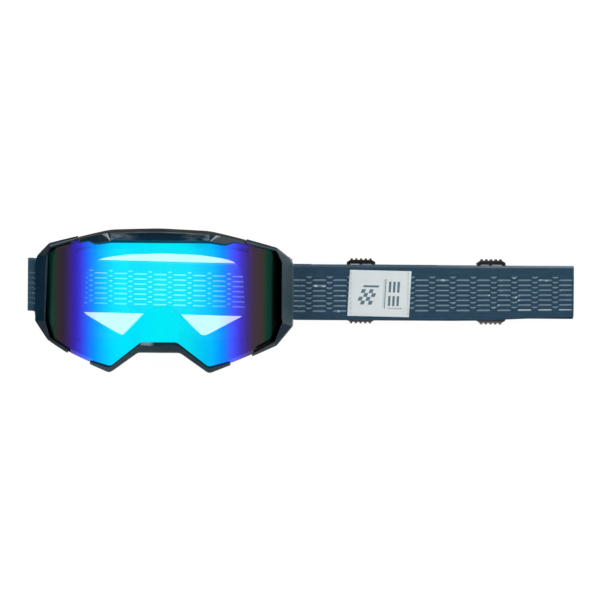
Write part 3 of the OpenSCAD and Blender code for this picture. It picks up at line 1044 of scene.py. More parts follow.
# Painted light: only the navy plastic is the outriggers' own colour. The edges are painted highlights, and
# the left facet and both legs are painted lighter. The slate of the right arm is the navy plastic painted as
# lit from the right, and its facet is painted shade.
NAVY, NAVY_EDGE_HIGHLIGHT, NAVY_LIT_FACET, NAVY_LIT_LEG, LIT_SLATE, SLATE_EDGE_HIGHLIGHT, SLATE_SHADED_FACET, SLATE_LIT_LEG = (
    Plastic(f"{tone}_outrigger_{part}", f"outrigger_{tone}", srgb(*colour), srgb(*light), rough, gloss)
    for tone, part, colour, light, rough, gloss in (
        ("navy", "plastic", (14, 37, 53), (20, 43, 60), 0.42, 0.0),
        ("navy", "edge", (66, 78, 88), (82, 94, 102), 0.4, 0.1),
        ("navy", "facet", (40, 49, 59), (47, 56, 66), 0.4, 0.0),
        ("navy", "leg", (46, 53, 62), (54, 60, 69), 0.42, 0.0),
        ("slate", "plastic", (50, 67, 76), (58, 75, 83), 0.4, 0.25),
        ("slate", "edge", (76, 94, 102), (88, 106, 112), 0.4, 0.3),
        ("slate", "facet", (27, 44, 58), (35, 51, 65), 0.42, 0.04),
        ("slate", "leg", (44, 54, 56), (54, 66, 68), 0.42, 0.1)))
BLACK_FRAME = Plastic("black_frame_plastic", "frame", srgb(20, 21, 24), srgb(28, 28, 29), 0.5, 0.2)
# Painted light: the grey of the frame's brow rim is the black frame plastic painted as lit where it shows
# above the brow cover.
LIT_FRAME_RIM = Plastic("grey_brow_rim", "frame", srgb(58, 60, 55), srgb(70, 71, 65), 0.5, 0.15)
# The grey streaks at the recess's ends are painted sheen.
COVER_RECESS = RecessPlastic("gloss_brow_recess", "gloss_cover", srgb(20, 46, 62), srgb(104, 124, 138),
                             ((-0.06, -0.05, -0.031, -0.012), (0.012, 0.031, 0.05, 0.06)))
# Painted light on the brow cover's one dark plastic: a lit crown, a pale crest highlight, a lip painted with
# the lens's teal reflection, and lobes painted shaded on the left and lit on the right.
LIT_COVER_CROWN, COVER_CREST_HIGHLIGHT, COVER_LIP_REFLECTION, SHADED_COVER_LOBE, LIT_COVER_LOBE = (
    Plastic(part, "gloss_cover", srgb(*colour), srgb(*light), rough, gloss)
    for part, colour, light, rough, gloss in (
        ("grey_brow_crown", (52, 56, 54), (62, 65, 60), 0.4, 0.1),
        ("pale_brow_crest", (70, 80, 82), (96, 106, 108), 0.3, 0.2),
        ("teal_brow_lip", (0, 62, 88), (0, 84, 110), 0.25, 0.06),
        ("teal_brow_lobe", (2, 28, 40), (8, 38, 50), 0.3, 0.05),
        ("slate_brow_lobe", (62, 74, 80), (74, 86, 92), 0.36, 0.15)))
# Painted highlights on the crests at the ends of the recess.
LEFT_CREST_HIGHLIGHT = CrestHighlightPlastic("left_brow_crest", "gloss_cover", srgb(24, 48, 64), srgb(5, 33, 45),
                          srgb(168, 180, 186), (0.0344, 0.0334), 0.5, 1.6)
RIGHT_CREST_HIGHLIGHT = CrestHighlightPlastic("right_brow_crest", "gloss_cover", srgb(24, 48, 64), srgb(68, 80, 86),
                           srgb(168, 180, 186), (0.0348, 0.0334), 1.0, 2.2)
NOSE_PLASTIC = Plastic("grey_nose_plastic", "nose_clip", srgb(38, 55, 64), srgb(50, 64, 72), 0.34, 0.3)
# The pale patch on the nose ramp is a painted reflection.
NOSE_RAMP = RecessPlastic("navy_nose_ramp", "nose_clip", srgb(9, 36, 53), srgb(124, 142, 148),
                          ((-0.0135, -0.0117, -0.0068, -0.0025),), 0.75, 0.02)
# The slider's pale tooth tips are painted highlights.
SLIDER_PLASTIC = Plastic("charcoal_slider_plastic", "slider_plastic", srgb(20, 23, 27), srgb(32, 36, 42),
                         0.5, 0.3, highlight_tips=srgb(122, 114, 112))
RUBBER = Plastic("gasket_rubber", "gasket", srgb(22, 22, 24), srgb(32, 32, 33), 0.75, 0.15)
# Both halves end in near black: painted shade at the lens's ends beside the outriggers.
LEFT_STOPS, RIGHT_STOPS = (
    tuple((place, srgb(*colour)) for place, colour in stops) for stops in (
        ((-86.0, (0, 8, 8)), (-82.4, (0, 14, 14)), (-81.4, (0, 46, 36)), (-79.0, (3, 44, 32)),
         (-77.0, (16, 41, 31)), (-75.5, (31, 34, 34)), (-73.5, (43, 31, 35)), (-70.0, (44, 29, 51)),
         (-66.0, (51, 34, 97)), (-62.0, (50, 34, 157)), (-57.0, (54, 52, 204)), (-52.5, (36, 90, 232)),
         (-47.0, (8, 135, 240)), (-41.0, (5, 173, 251)), (-33.0, (2, 207, 255)), (-18.0, (3, 226, 252))),
        ((0.0, (3, 233, 246)), (20.0, (8, 228, 250)), (27.0, (6, 214, 253)), (33.0, (3, 196, 250)),
         (38.5, (4, 166, 254)), (43.0, (8, 138, 251)), (46.0, (30, 118, 252)), (48.5, (58, 94, 250)),
         (51.5, (65, 73, 236)), (56.0, (64, 50, 186)), (60.0, (62, 46, 126)), (64.0, (62, 47, 66)),
         (70.4, (55, 50, 44)), (73.8, (12, 57, 44)), (76.8, (5, 44, 38)), (78.0, (2, 12, 12)),
         (86.0, (1, 5, 6)))))
# The ramp's colours and the glow of the coating and of its rim are painted reflection.
MIRROR = MirrorCoating("blue_mirror_coating", "mirror_lens", LEFT_STOPS, RIGHT_STOPS)
MIRROR_RIM = MirrorCoating("blue_mirror_rim", "mirror_lens", LEFT_STOPS, RIGHT_STOPS, 0.55, 0.78, 0.7)
# The lens border is near black: painted shade in the groove beside the outriggers.
LENS_BORDER_SHADE = Plastic("black_lens_border", "mirror_lens", srgb(8, 10, 12), srgb(14, 16, 18), 0.25, 0.25)
# The elastic's pale upper selvage is a painted highlight, and its float gaps are painted shade.
ELASTIC = Woven("navy_elastic", "elastic", srgb(54, 86, 108), srgb(22, 44, 60), srgb(142, 156, 166))
# The paler line along the dashes' upper edges is a painted highlight.
OUTER_PRINT = Silicone("outer_silicone", "silicone_print", srgb(58, 86, 103), srgb(128, 154, 170),
                       srgb(206, 220, 228), (0.2515, -0.0128))
INNER_PRINT = Silicone("inner_silicone", "silicone_print", srgb(196, 212, 220), srgb(220, 230, 235),
                       srgb(228, 236, 240))
FIRM_FOAM = Foam("charcoal_firm_foam", "firm_foam", srgb(30, 30, 33), srgb(12, 12, 13))
SOFT_FOAM = Foam("grey_soft_foam", "soft_foam", srgb(42, 46, 52), srgb(16, 18, 21), 0.0007)
VENT_FOAM = Foam("open_vent_foam", "vent_foam", srgb(34, 34, 36), srgb(8, 8, 9), 0.0014, 0.0005)
FLEECE = Fleece("face_fleece", "fleece", srgb(40, 46, 54), srgb(14, 17, 22))
LABEL_CLOTH = WovenLabel("white_label_cloth", "label_fabric", srgb(228, 236, 238), srgb(72, 104, 120))
LABEL_THREAD = Thread("pale_thread", "thread", srgb(236, 241, 243))
LOOP_THREAD = Thread("navy_thread", "thread", srgb(52, 78, 98))
STEEL = Steel("blackened_pin_steel", "pin_steel", srgb(92, 94, 98))


@dataclass(frozen=True)
class Studio:
    """The pale floor, the lamps, the world and the camera.

    Attributes:
        eye: Place of the camera in metres.
        roll: Turn of the camera in degrees.
        focal: Focal length in millimetres.
        floor_half: Half of the floor's width in metres.
        lamp_power: Power of a side lamp in watts, before its own share.
        lamp_size: Width of each side lamp in metres.
        skylight: Strength of the light from all sides.
        shadow: Share of the floor's own shading that shows.
        floor_glow: Strength of the rest, which makes up for the shading of an open floor.
    """
    eye: Spot = (0.0973, -0.007, 1.2)
    roll: float = 0.45
    focal: float = 98.5
    floor_half: float = 4.0
    lamp_power: float = 2.6
    lamp_size: float = 0.4
    skylight: float = 0.62
    shadow: float = 0.1
    floor_glow: float = 1.06

    def camera(self) -> None:
        """Adds the camera, which looks straight down."""
        bpy.ops.object.select_all(action="DESELECT")
        bpy.ops.object.camera_add(location=self.eye, rotation=(0, 0, math.radians(self.roll)))
        camera = bpy.context.object
        camera.name = "photo_camera"
        camera.data.lens = self.focal
        camera.data.sensor_width = 36
        camera.data.clip_start = 0.05
        camera.data.clip_end = 20
        bpy.context.scene.camera = camera

    def white_to_camera(self, board: Board) -> Signal:
        """1 for rays that see the background itself, in a mirror or through glass too."""
        rays = board.add("ShaderNodeLightPath", output="Is Camera Ray")
        outputs = rays.socket.node.outputs
        seen = rays + Signal(board, outputs["Is Glossy Ray"]) + Signal(board, outputs["Is Transmission Ray"])
        return seen.clear()

    @staticmethod
    def backdrop(name: str, shade: Callable[[Board], Signal]) -> Piece:
        """Gives the plane that was just added its name and its own shader.

        Args:
            name: Name of the plane and of its material.
            shade: Draws the shader.

        Returns:
            The plane.
        """
        piece = bpy.context.object
        piece.name = name
        material = bpy.data.materials.new(name)
        material.use_nodes = True
        board = Board(material.node_tree)
        board.end(shade(board))
        piece.data.materials.append(material)
        return piece

    def floor(self) -> None:
        """Lays the floor, which is white to the camera but for a part of its shadow."""
        def shade(board: Board) -> Signal:
            """Mixes the matt floor with a plain white one."""
            matt = board.add("ShaderNodeBsdfDiffuse", {}, {"Color": (0.9, 0.9, 0.9, 1)})
            glow = board.add("ShaderNodeEmission", {}, {"Color": (1, 1, 1, 1), "Strength": self.floor_glow})
            share = (1 - self.shadow) * self.white_to_camera(board)
            return board.add("ShaderNodeMixShader", {}, {0: share, 1: matt, 2: glow})
        bpy.ops.object.select_all(action="DESELECT")
        bpy.ops.mesh.primitive_plane_add(size=2 * self.floor_half, location=(self.eye[0], 0, -0.0001))
        self.backdrop("studio_floor", shade)

    def card(self) -> None:
        """Hangs a black card over the camera, for the gloss of the plastic to reflect."""
        bpy.ops.object.select_all(action="DESELECT")
        bpy.ops.mesh.primitive_circle_add(
            vertices=64, radius=0.95, fill_type="NGON", location=(self.eye[0], 0, 1.5))
        card = self.backdrop("studio_card", lambda board: board.add(
            "ShaderNodeBsdfDiffuse", {}, {"Color": (0.02, 0.02, 0.02, 1)}))
        card.visible_camera = False

    def lights(self) -> None:
        """Adds soft lamps on all sides and the sky."""
        for name, spot, share, seen in (
                ("brow_lamp", (0.1, 0.9, 0.55), 1.3, True), ("near_lamp", (0.1, -0.9, 0.6), 0.8, True),
                ("left_lamp", (-0.9, 0.1, 0.6), 0.9, False), ("right_lamp", (1.1, 0.2, 0.7), 1.0, False)):
            turn = (Vector((0.1, 0, 0)) - Vector(spot)).to_track_quat("-Z", "Y").to_euler()
            bpy.ops.object.light_add(type="AREA", location=spot, rotation=turn)
            lamp = bpy.context.object
            lamp.name = name
            lamp.visible_glossy = seen
            lamp.data.size = self.lamp_size
            lamp.data.energy = self.lamp_power * share
        world = bpy.data.worlds.new("studio_world")
        bpy.context.scene.world = world
        world.use_nodes = True
        board = Board(world.node_tree)
        strength = self.skylight + (1 - self.skylight) * self.white_to_camera(board)
        sky = board.add("ShaderNodeBackground", {}, {"Color": (1, 1, 1, 1), "Strength": strength})
        board.end(sky, "ShaderNodeOutputWorld")
        bpy.context.scene.view_settings.view_transform = "Standard"


@dataclass(frozen=True)
class Outlines:
    """Outlines of the flat pieces before they are curved, as right halves from the brow clockwise."""
    lens: tuple[Flat, ...] = (
        (0, 37.8), (34, 36.8), (49, 34.6), (60, 33.6), (81, 29.6), (86.2, 23.6), (86.6, -25), (82.6, -36.4),
        (64.5, -45.3), (48.4, -51.8), (34.6, -55.9), (32, -55), (13.3, -41), (0, -41))
    foam: tuple[Flat, ...] = (
        (0, 37), (34, 36), (50, 33), (62, 29.5), (74, 24.5), (78.5, 18), (78.5, -22), (73, -31.5), (60, -40),
        (46, -46), (37, -48.6), (33, -48.2), (17, -34.5), (9, -27), (0, -25.5))
    eye: tuple[Flat, ...] = (
        (0, 25.4), (25, 24.6), (43.5, 22.2), (51.5, 19.6), (57, 10), (57, 2), (57.6, -8), (60.5, -16.6),
        (31, -32.6), (27, -33.0), (14, -19.2), (8, -12.5), (0, -11.5))
    flange: tuple[Flat, ...] = (
        (0, 24.5), (25, 23.5), (42, 20.5), (54, 12), (58.5, 0), (58.5, -12), (54, -21.5), (31, -33.3),
        (27, -33.3), (14, -19.2), (8, -12.5), (0, -11.5))
    left_outer: tuple[Flat, ...] = (
        (58.6, 36.8), (82.2, 32.3), (93.3, 23.7), (94.3, 20.9), (94.7, 19.3), (94.7, -19.5), (94.7, -19.8),
        (95.0, -23.2), (83.0, -36.9), (66.6, -45.6))
    left_inner: tuple[Flat, ...] = (
        (59.3, 34.0), (80.6, 28.6), (82.9, 23.8), (83.2, 20.8), (83.4, 18.8), (85.0, -19.3), (85.0, -19.6),
        (85.2, -23.1), (81.2, -35.3), (65.3, -43.3))
    right_outer: tuple[Flat, ...] = (
        (59.4, 35.5), (80.6, 30.2), (90.9, 22.4), (92.0, 19.8), (92.6, 18.4), (92.6, -20.4), (92.6, -20.7),
        (92.5, -25.7), (80.9, -39.7), (64.1, -47.0))
    right_inner: tuple[Flat, ...] = (
        (59.7, 31.8), (80.1, 27.5), (83.1, 21.4), (83.6, 20.2), (83.9, 18.8), (84.0, -20.0), (84.1, -20.3),
        (84.6, -23.2), (79.8, -36.5), (63.6, -45.1))
    nose_inner: tuple[Flat, ...] = ((0, -37.0), (12.5, -37.0), (34.1, -53.9), (48.8, -50.1))
    nose_outer: tuple[Flat, ...] = ((0, -44.3), (14.6, -44.3), (34.5, -58.6), (49.2, -52.9))
    nose_lens: tuple[Flat, ...] = ((0, -41.3), (13.4, -41.3), (33.2, -56.1), (48.4, -52.3))
    nose_frame: tuple[Flat, ...] = ((0, -38.5), (14.5, -38.5), (34.1, -53.1), (47.6, -49.6))


OUTLINES = Outlines()


class BrowPart(IntEnum):
    """Parts of the brow cover, in the order of its finishes."""
    RECESS = 0
    CROWN = 1
    CREST = 2
    LIP = 3
    LEFT_LOBE = 4
    RIGHT_LOBE = 5
    LEFT_END = 6
    RIGHT_END = 7


@dataclass
class Eyepiece:
    """The lens, the frame, the brow cover and the nose channel.

    Attributes:
        lens_r, lens_t: Outer radius and thickness of the lens.
        cover_gap: Gap between the lens and what is clipped over it.
        border: Width of the lens's border.
        black_from: Distance from the middle in x from which that border is painted black as shade.
        flange_gap: How far the flange's inner edge stays behind the foam's.
        brow_y: Place in y from which the frame is brow rim, painted grey as lit.
        lift_from: Heights over the lens between which the brow rim's lift sets in.
        nose_ramp: Width of the nose channel's inner ramp, at each corner.
        nose_foot, nose_lip: Heights over the lens of its lower end, and of the lip behind the lens.
        nose_edge: Size of its outer bevel.
        crest_x, lobe_x: Distances from the middle in x at which the brow cover's recess and crest end.
        cover_step: Way from one section of the brow cover to the next.
        dome: Surface of the lens.
    """
    lens_r: float = 105.0
    lens_t: float = 1.2
    cover_gap: float = 0.3
    border: float = 2.2
    black_from: float = 64.5
    flange_gap: float = 1.5
    brow_y: float = 30.0
    lift_from: Flat = (-12.0, -7.0)
    nose_ramp: tuple[float, ...] = (2.6, 2.1, 1.2, 1.0)
    nose_foot: float = -5.5
    nose_lip: float = -2.5
    nose_edge: float = 0.7
    crest_x: float = 34.0
    lobe_x: float = 44.0
    cover_step: float = 0.9
    dome: Barrel = field(init=False)

    def __post_init__(self) -> None:
        """Takes the height of the lens from the model."""
        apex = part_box("lens")[1].z / MM
        self.dome = Barrel(self.lens_r, apex - self.lens_r)

    def lens(self) -> Piece:
        """Models the lens as a flat sheet that is bevelled, cut into strips and laid on the dome."""
        outline = rounded(mirrored(OUTLINES.lens), 4)
        piece = Bench.slab("mirror_lens", outline, -self.lens_t, 0)
        MIRROR.dress(piece, MIRROR_RIM, LENS_BORDER_SHADE)
        Bench.edit(piece, Pick.EDGE, lambda spot: abs(spot[2]) < 0.01, lambda: bpy.ops.mesh.bevel(
            offset=0.3 * MM, segments=2, profile=0.5, clamp_overlap=True))
        Bench.paint(piece, lambda spot, number: 1)

        def flat_side(spot: Spot) -> bool:
            """Whether a face lies on the outer or the inner side of the sheet."""
            return min(abs(spot[2]), abs(spot[2] + self.lens_t)) < 0.02

        def border() -> None:
            """Draws in the two sides and gives what is left of them the coating."""
            bpy.ops.mesh.inset(thickness=self.border * MM)
            piece.active_material_index = 0
            bpy.ops.object.material_slot_assign()
        Bench.edit(piece, Pick.FACE, flat_side, border)
        Bench.cut(piece, [self.lens_r * math.sin(math.radians(i)) for i in range(-54, 55)])
        # Paints the rim near black past black_from, as shade.
        Bench.paint(piece, lambda spot, number: 2 if number and abs(spot[0]) > self.black_from else number)
        Bench.shape(piece, self.dome.drape)
        Bench.smooth(piece, 25)
        return Bench.place(piece, "lens")

    def frame(self) -> Piece:
        """Copies the frame, opens its face flange as far as the foam's eye opening, and dresses its rim in a
        grey that is painted light.
        """
        piece = Bench.copy_of("frame_chassis", "moulded_frame")
        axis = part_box("foam_base")[1].z / MM - FACE_R
        old = rounded(grown(mirrored(OUTLINES.flange), self.flange_gap), 6)
        new = rounded(grown(mirrored(OUTLINES.eye), 0.5), 6)

        def opened(x: float, y: float, z: float) -> Spot:
            """Lifts the brow rim, and moves the flange's inner edge outwards, round the face's axis."""
            if y > self.brow_y:
                return x, y + self.lift(x, y) * eased(*self.lift_from, z - self.dome.z(x)), z
            radius = math.hypot(x, z - axis)
            size, angle = math.hypot(x, y), math.atan2(y, x)
            if not -0.4 < radius - FACE_R < 2.0 or abs(FaceFoam.reach(old, angle) - size) > 0.5:
                return x, y, z
            share = max(1.0, FaceFoam.reach(new, angle) / size)
            return x * share, y * share, Barrel(radius, axis).z(x * share)
        Bench.shape(piece, opened)
        Bench.soften(piece, 0.3, 32)
        Bench.smooth(piece, 35)
        BLACK_FRAME.dress(piece, LIT_FRAME_RIM)
        # Paints the brow rim grey, as painted light.
        Bench.paint(piece, lambda spot, number: int(
            spot[1] > self.brow_y and spot[2] > self.dome.z(spot[0], 0.9)))
        return Bench.place(piece, "frame_chassis")

    def nose_channel(self) -> Piece:
        """Models the nose channel: a cap over the lens, a wall past its edge and a lip under it."""
        half = stations([cap + lens + frame + (ramp,) for cap, lens, frame, ramp in zip(
            (outer + inner for outer, inner in zip(OUTLINES.nose_outer, OUTLINES.nose_inner)),
            OUTLINES.nose_lens, OUTLINES.nose_frame, self.nose_ramp)], 2.2, 1.2)
        tip = len(half) - 1
        foot, lip, edge = self.nose_foot, self.nose_lip, self.nose_edge
        rows = []
        for side, order in ((-1, range(tip, 0, -1)), (1, range(tip + 1))):
            for i in order:
                ox, oy, ix, iy, lx, ly, fx, fy, ramp = half[i]
                sx, sy = unit(ox - ix, oy - iy)
                end = 1 - eased(0, 2.2, tip - i)
                low, high = self.cover_gap, 2.7 - 0.9 * end
                flat_w = math.dist((ox, oy), (ix, iy)) - edge
                flat = [
                    (ix + 0.3 * end * sx, iy + 0.3 * end * sy, low), (ix, iy, 0.9),
                    (ix + ramp * sx, iy + ramp * sy, high), (ix + flat_w * sx, iy + flat_w * sy, high),
                    (ox, oy, high - edge), (ox, oy, foot), (fx, fy, foot), (fx, fy, lip), (lx, ly, lip),
                    (lx, ly, low)]
                rows.append([self.dome.drape(side * x, y, above) for x, y, above in flat])
        piece = Bench.loft("nose_channel_clip", rows, paint=lambda row, column: int(column < 2))
        NOSE_PLASTIC.dress(piece, NOSE_RAMP)
        Bench.soften(piece, 0.25, 25)
        Bench.smooth(piece, 25)
        return Bench.place(piece, "nose_channel")

    @staticmethod
    def lift(x: float, y: float) -> float:
        """How far the brow edge lies above its even outline, more on the left side."""
        return (0.75 - 0.008 * x) * eased(32, 35, y)

    def brow_section(self, x: float) -> list[Spot]:
        """One section of the brow cover.

        Args:
            x: Where the section is.

        Returns:
            Its points from the lower edge over the face to the upper edge and back underneath.
        """
        side = abs(x)
        top = along([(0, 38.9), (18, 38.6), (34.5, 37.8), (42, 36.8), (48.1, 35.6), (58.5, 33.4)], side)
        low = along([(0, 31.5), (34.6, 31.7), (43.2, 30.5), (46.2, 30.6), (50.9, 32.7), (58.5, 31.9)], side)
        width = top - low
        block = 1 - held((side - 35.0) / 4.0)
        face = 1.5 + 0.9 * (1 - eased(50, 58, side)) + 1.4 * block
        dish = 1.3 * math.sqrt(max(0.0, 1 - max(0.0, (side - 12) / 22.5) ** 2)) if side < 34.5 else 0.0
        lip = min(1.25, 0.2 * width)
        crown = min(0.8, 0.25 * width)
        gap, rim = self.cover_gap, 1.52
        flat = [
            (low, gap), (low, 0.5 * face), (low + lip, face), (low + lip + 0.04 * width, face - 0.1 * dish),
            (low + lip + 0.11 * width, face - 0.9 * dish), (low + 0.5 * width, face - dish),
            (top - crown - 0.11 * width, face - 0.9 * dish), (top - crown - 0.04 * width, face - 0.1 * dish),
            (top - crown, face), (top - 0.35 * crown, rim + 0.45 * (face - rim)), (top, rim + 0.15),
            (top, rim), (top - 1.0, rim), (top - 1.05, gap)]
        return [self.dome.drape(x, y + self.lift(x, y), above) for y, above in flat]

    def brow_part(self, x: float, column: int) -> BrowPart:
        """Part of the brow cover at x, on the strip of its section after a point.

        Args:
            x: Where its section is.
            column: Number of the point.

        Returns:
            The part.
        """
        side = abs(x)
        if column >= 9:
            return BrowPart.CROWN
        if side > self.crest_x and column > 1:
            crest, lobe = ((BrowPart.RIGHT_END, BrowPart.RIGHT_LOBE) if x > 0 else
                           (BrowPart.LEFT_END, BrowPart.LEFT_LOBE))
            return lobe if side > self.lobe_x else crest
        if column in (7, 8):
            return BrowPart.CREST
        return BrowPart.LIP if column < 3 else BrowPart.RECESS

    def brow_cover(self) -> Piece:
        """Models the brow cover over its sections."""
        half = [self.cover_step * i for i in range(65)] + [58.45]
        places = [-x for x in reversed(half[1:])] + half
        piece = Bench.loft(
            "brow_cover_clip", [self.brow_section(x) for x in places],
            paint=lambda row, column: self.brow_part(places[row] + self.cover_step / 2, column))
        # All finishes but the recess's own colour are painted light, and the recess has painted sheen
        # streaks.
        COVER_RECESS.dress(
            piece, LIT_COVER_CROWN, COVER_CREST_HIGHLIGHT, COVER_LIP_REFLECTION, SHADED_COVER_LOBE, LIT_COVER_LOBE, LEFT_CREST_HIGHLIGHT, RIGHT_CREST_HIGHLIGHT)
        Bench.soften(piece, 0.12, 24)
        Bench.smooth(piece, 20)
        return Bench.place(piece, "brow_cover")


@dataclass(frozen=True)
class ArmShape:
    """What differs between the two outriggers, at each corner from the brow down.

    Attributes:
        finish, edge, facet, leg: Finishes of its upright, of its edges, painted as highlights, of its corner
            facets and of its lower leg, these two painted with the light and shade that fall on them; the
            right arm's upright is painted as lit too.
        outer, inner: Outer and inner corners of its outline, as on the right side.
        zones: Numbers of the finishes of the inner bevel, the face and the rest, for each run of the outline.
        inner_bevel, outer_bevel: Widths of its two bevels.
        heights: Height of the outer side of its face over the lens.
        pocket: Height of the strap's pocket over the lens.
    """
    finish: Finish
    edge: Finish
    facet: Finish
    leg: Finish
    outer: tuple[Flat, ...]
    inner: tuple[Flat, ...]
    zones: tuple[tuple[int, int, int], ...]
    inner_bevel: tuple[float, ...]
    outer_bevel: tuple[float, ...]
    heights: tuple[float, ...]
    pocket: float = 1.6


@dataclass
class Outriggers:
    """The two arms that lock the lens at the temples and carry the strap.

    Attributes:
        eyepiece: Gives the dome of the lens.
        top: Height of the shell over the lens.
        pocket_x: Inner side of the pocket.
        ear: Inner and outer y of each ear.
        web: Inner and outer x of the web that carries an ear's eye.
        web_gap: How far the web stays inside the shell's outline.
        eye_r: Radius of an ear's eye.
        zone_starts: Numbers of the corners at which the outline's runs start, after the first.
    """
    eyepiece: Eyepiece
    top: float = 3.0
    pocket_x: float = 86.6
    ear: Flat = (22.9, 25.9)
    web: Flat = (86.8, 93.0)
    web_gap: float = 0.4
    eye_r: float = 3.5
    zone_starts: tuple[int, ...] = (1, 2, 7, 8)

    def shell(self, name: str, shape: ArmShape) -> Piece:
        """Models the shell over sections that run from its upper tip to its lower one.

        Args:
            name: Name of the piece.
            shape: What is this arm's own.

        Returns:
            The shell, as on the right side.
        """
        dome, gap = self.eyepiece.dome, self.eyepiece.cover_gap
        lows = [gap] * 4 + [shape.pocket] * 2 + [gap] * 4
        corners = [(*shape.outer[k], *shape.inner[k], shape.inner_bevel[k], shape.outer_bevel[k],
                    shape.heights[k], lows[k], float(k)) for k in range(len(shape.outer))]
        walk = stations(corners, 0.9, 1.2)
        rows = []
        for i, (ox, oy, ix, iy, inner, outer, high, low, _) in enumerate(walk):
            sx, sy = unit(ox - ix, oy - iy)
            width = math.dist((ox, oy), (ix, iy))
            end = 1 - eased(0, 2.0, min(i, len(walk) - 1 - i))
            inner, outer = min(inner, 0.46 * width), min(outer, 0.46 * width)
            split = held((self.pocket_x - ix) / max(ox - ix, 0.1), 0.2, 0.8) * width
            top, high = self.top - 0.8 * end, high - 0.8 * end
            flat = [(0, gap), (0, 1.5 - 0.4 * end), (inner, top), (width - outer, high),
                    (width, max(high - 1.1, low + 0.3)), (width, low), (split, low), (split - 0.05, gap)]
            rows.append([dome.drape(ix + t * sx, iy + t * sy, above) for t, above in flat])

        def finish(row: int, column: int) -> int:
            """Number of the finish of a face."""
            zone = shape.zones[sum(walk[row][-1] >= start for start in self.zone_starts)]
            return zone[column - 1] if column in (1, 2) else zone[2]
        piece = Bench.loft(name, rows, paint=finish)
        # The edge, facet and leg finishes, and the right arm's slate, are painted light.
        shape.finish.dress(piece, shape.edge, shape.facet, shape.leg)
        Bench.soften(piece, 0.2, 22)
        return piece

    def ears(self, name: str, shape: ArmShape) -> list[Piece]:
        """Models the two ears that turn on the hinge pin, each with its eye.

        Args:
            name: Start of their names.
            shape: What is this arm's own.

        Returns:
            The two webs and their eyes.
        """
        dome = self.eyepiece.dome
        x, z = PIN_X, PIN_Z
        found = []
        for side in (-1, 1):
            low, high = sorted((side * self.ear[0], side * self.ear[1]))
            near, far = self.web[0], min(self.web[1], shape.outer[5][0] - self.web_gap)
            sides = [(near, z), (far, z), (far, dome.z(far, 1.2)), (near, dome.z(near, 1.2))]
            web = Bench.slab(f"{name}_web", sides, low, high)
            eye = Bench.start(f"{name}_eye", bpy.ops.mesh.primitive_cylinder_add, vertices=48,
                              radius=self.eye_r * MM, depth=(high - low) * MM)
            Bench.shape(eye, lambda a, b, c: (x + a, z + b, (low + high) / 2 + c))
            for part in (web, eye):
                Bench.shape(part, lambda a, b, c: (a, c, b))
                Bench.close(part)
                self.trim(part, side, shape)
                Bench.soften(part, 0.3)
                shape.finish.dress(part)
                found.append(part)
        return found

    @staticmethod
    def trim(part: Piece, side: int, shape: ArmShape) -> None:
        """Cuts the corner of an ear off along the shell's outline.

        Args:
            part: A web or an eye.
            side: 1 at the brow, -1 at the nose.
            shape: What is this arm's own.
        """
        ahead, behind = shape.outer[1:3] if side > 0 else shape.outer[7:9]
        dx, dy = unit(behind[0] - ahead[0], behind[1] - ahead[1])
        spot = (ahead[0] * MM, ahead[1] * MM, 0)
        Bench.edit(part, Pick.VERT, anywhere, lambda: bpy.ops.mesh.bisect(
            plane_co=spot, plane_no=(-dy, dx, 0), clear_outer=True, use_fill=True))

    def make(self, side: str, shape: ArmShape) -> Piece:
        """Models one outrigger and puts it on its body.

        Args:
            side: left or right.
            shape: What is its own.

        Returns:
            The outrigger.
        """
        name = f"{side}_outrigger_arm"
        piece = Bench.join(self.shell(name, shape), *self.ears(name, shape))
        if side == "left":
            Bench.shape(piece, lambda x, y, z: (-x, y, z))
            Bench.edit(piece, Pick.FACE, anywhere, bpy.ops.mesh.flip_normals)
        Bench.smooth(piece, 15)
        return Bench.place(piece, f"{side}_outrigger", f"{side}_outrigger")


LEFT_ARM = ArmShape(
    NAVY, NAVY_EDGE_HIGHLIGHT, NAVY_LIT_FACET, NAVY_LIT_LEG, OUTLINES.left_outer, OUTLINES.left_inner,
    zones=((2, 1, 2), (2, 2, 2), (1, 0, 0), (1, 2, 2), (3, 3, 3)),
    inner_bevel=(0.7, 0.9, 1.1, 1.2, 1.2, 0.9, 0.9, 0.8, 0.6, 0.5),
    outer_bevel=(1.3, 1.6, 1.2, 0.7, 0.7, 0.7, 0.7, 0.8, 1.4, 1.2),
    heights=(2.6, 2.6, 2.6, 3.0, 3.0, 3.0, 3.0, 2.9, 2.2, 2.3), pocket=2.3)
RIGHT_ARM = ArmShape(
    LIT_SLATE, SLATE_EDGE_HIGHLIGHT, SLATE_SHADED_FACET, SLATE_LIT_LEG, OUTLINES.right_outer, OUTLINES.right_inner,
    zones=((0, 0, 2), (0, 0, 0), (0, 0, 1), (1, 2, 2), (3, 3, 3)),
    inner_bevel=(0.7, 0.8, 0.6, 0.5, 0.5, 0.5, 0.5, 0.5, 0.6, 0.7),
    outer_bevel=(1.3, 1.6, 1.2, 0.9, 0.9, 0.9, 0.9, 0.9, 1.4, 1.2),
    heights=(2.6, 2.6, 2.6, 3.0, 3.0, 3.0, 3.0, 2.9, 2.2, 2.3))


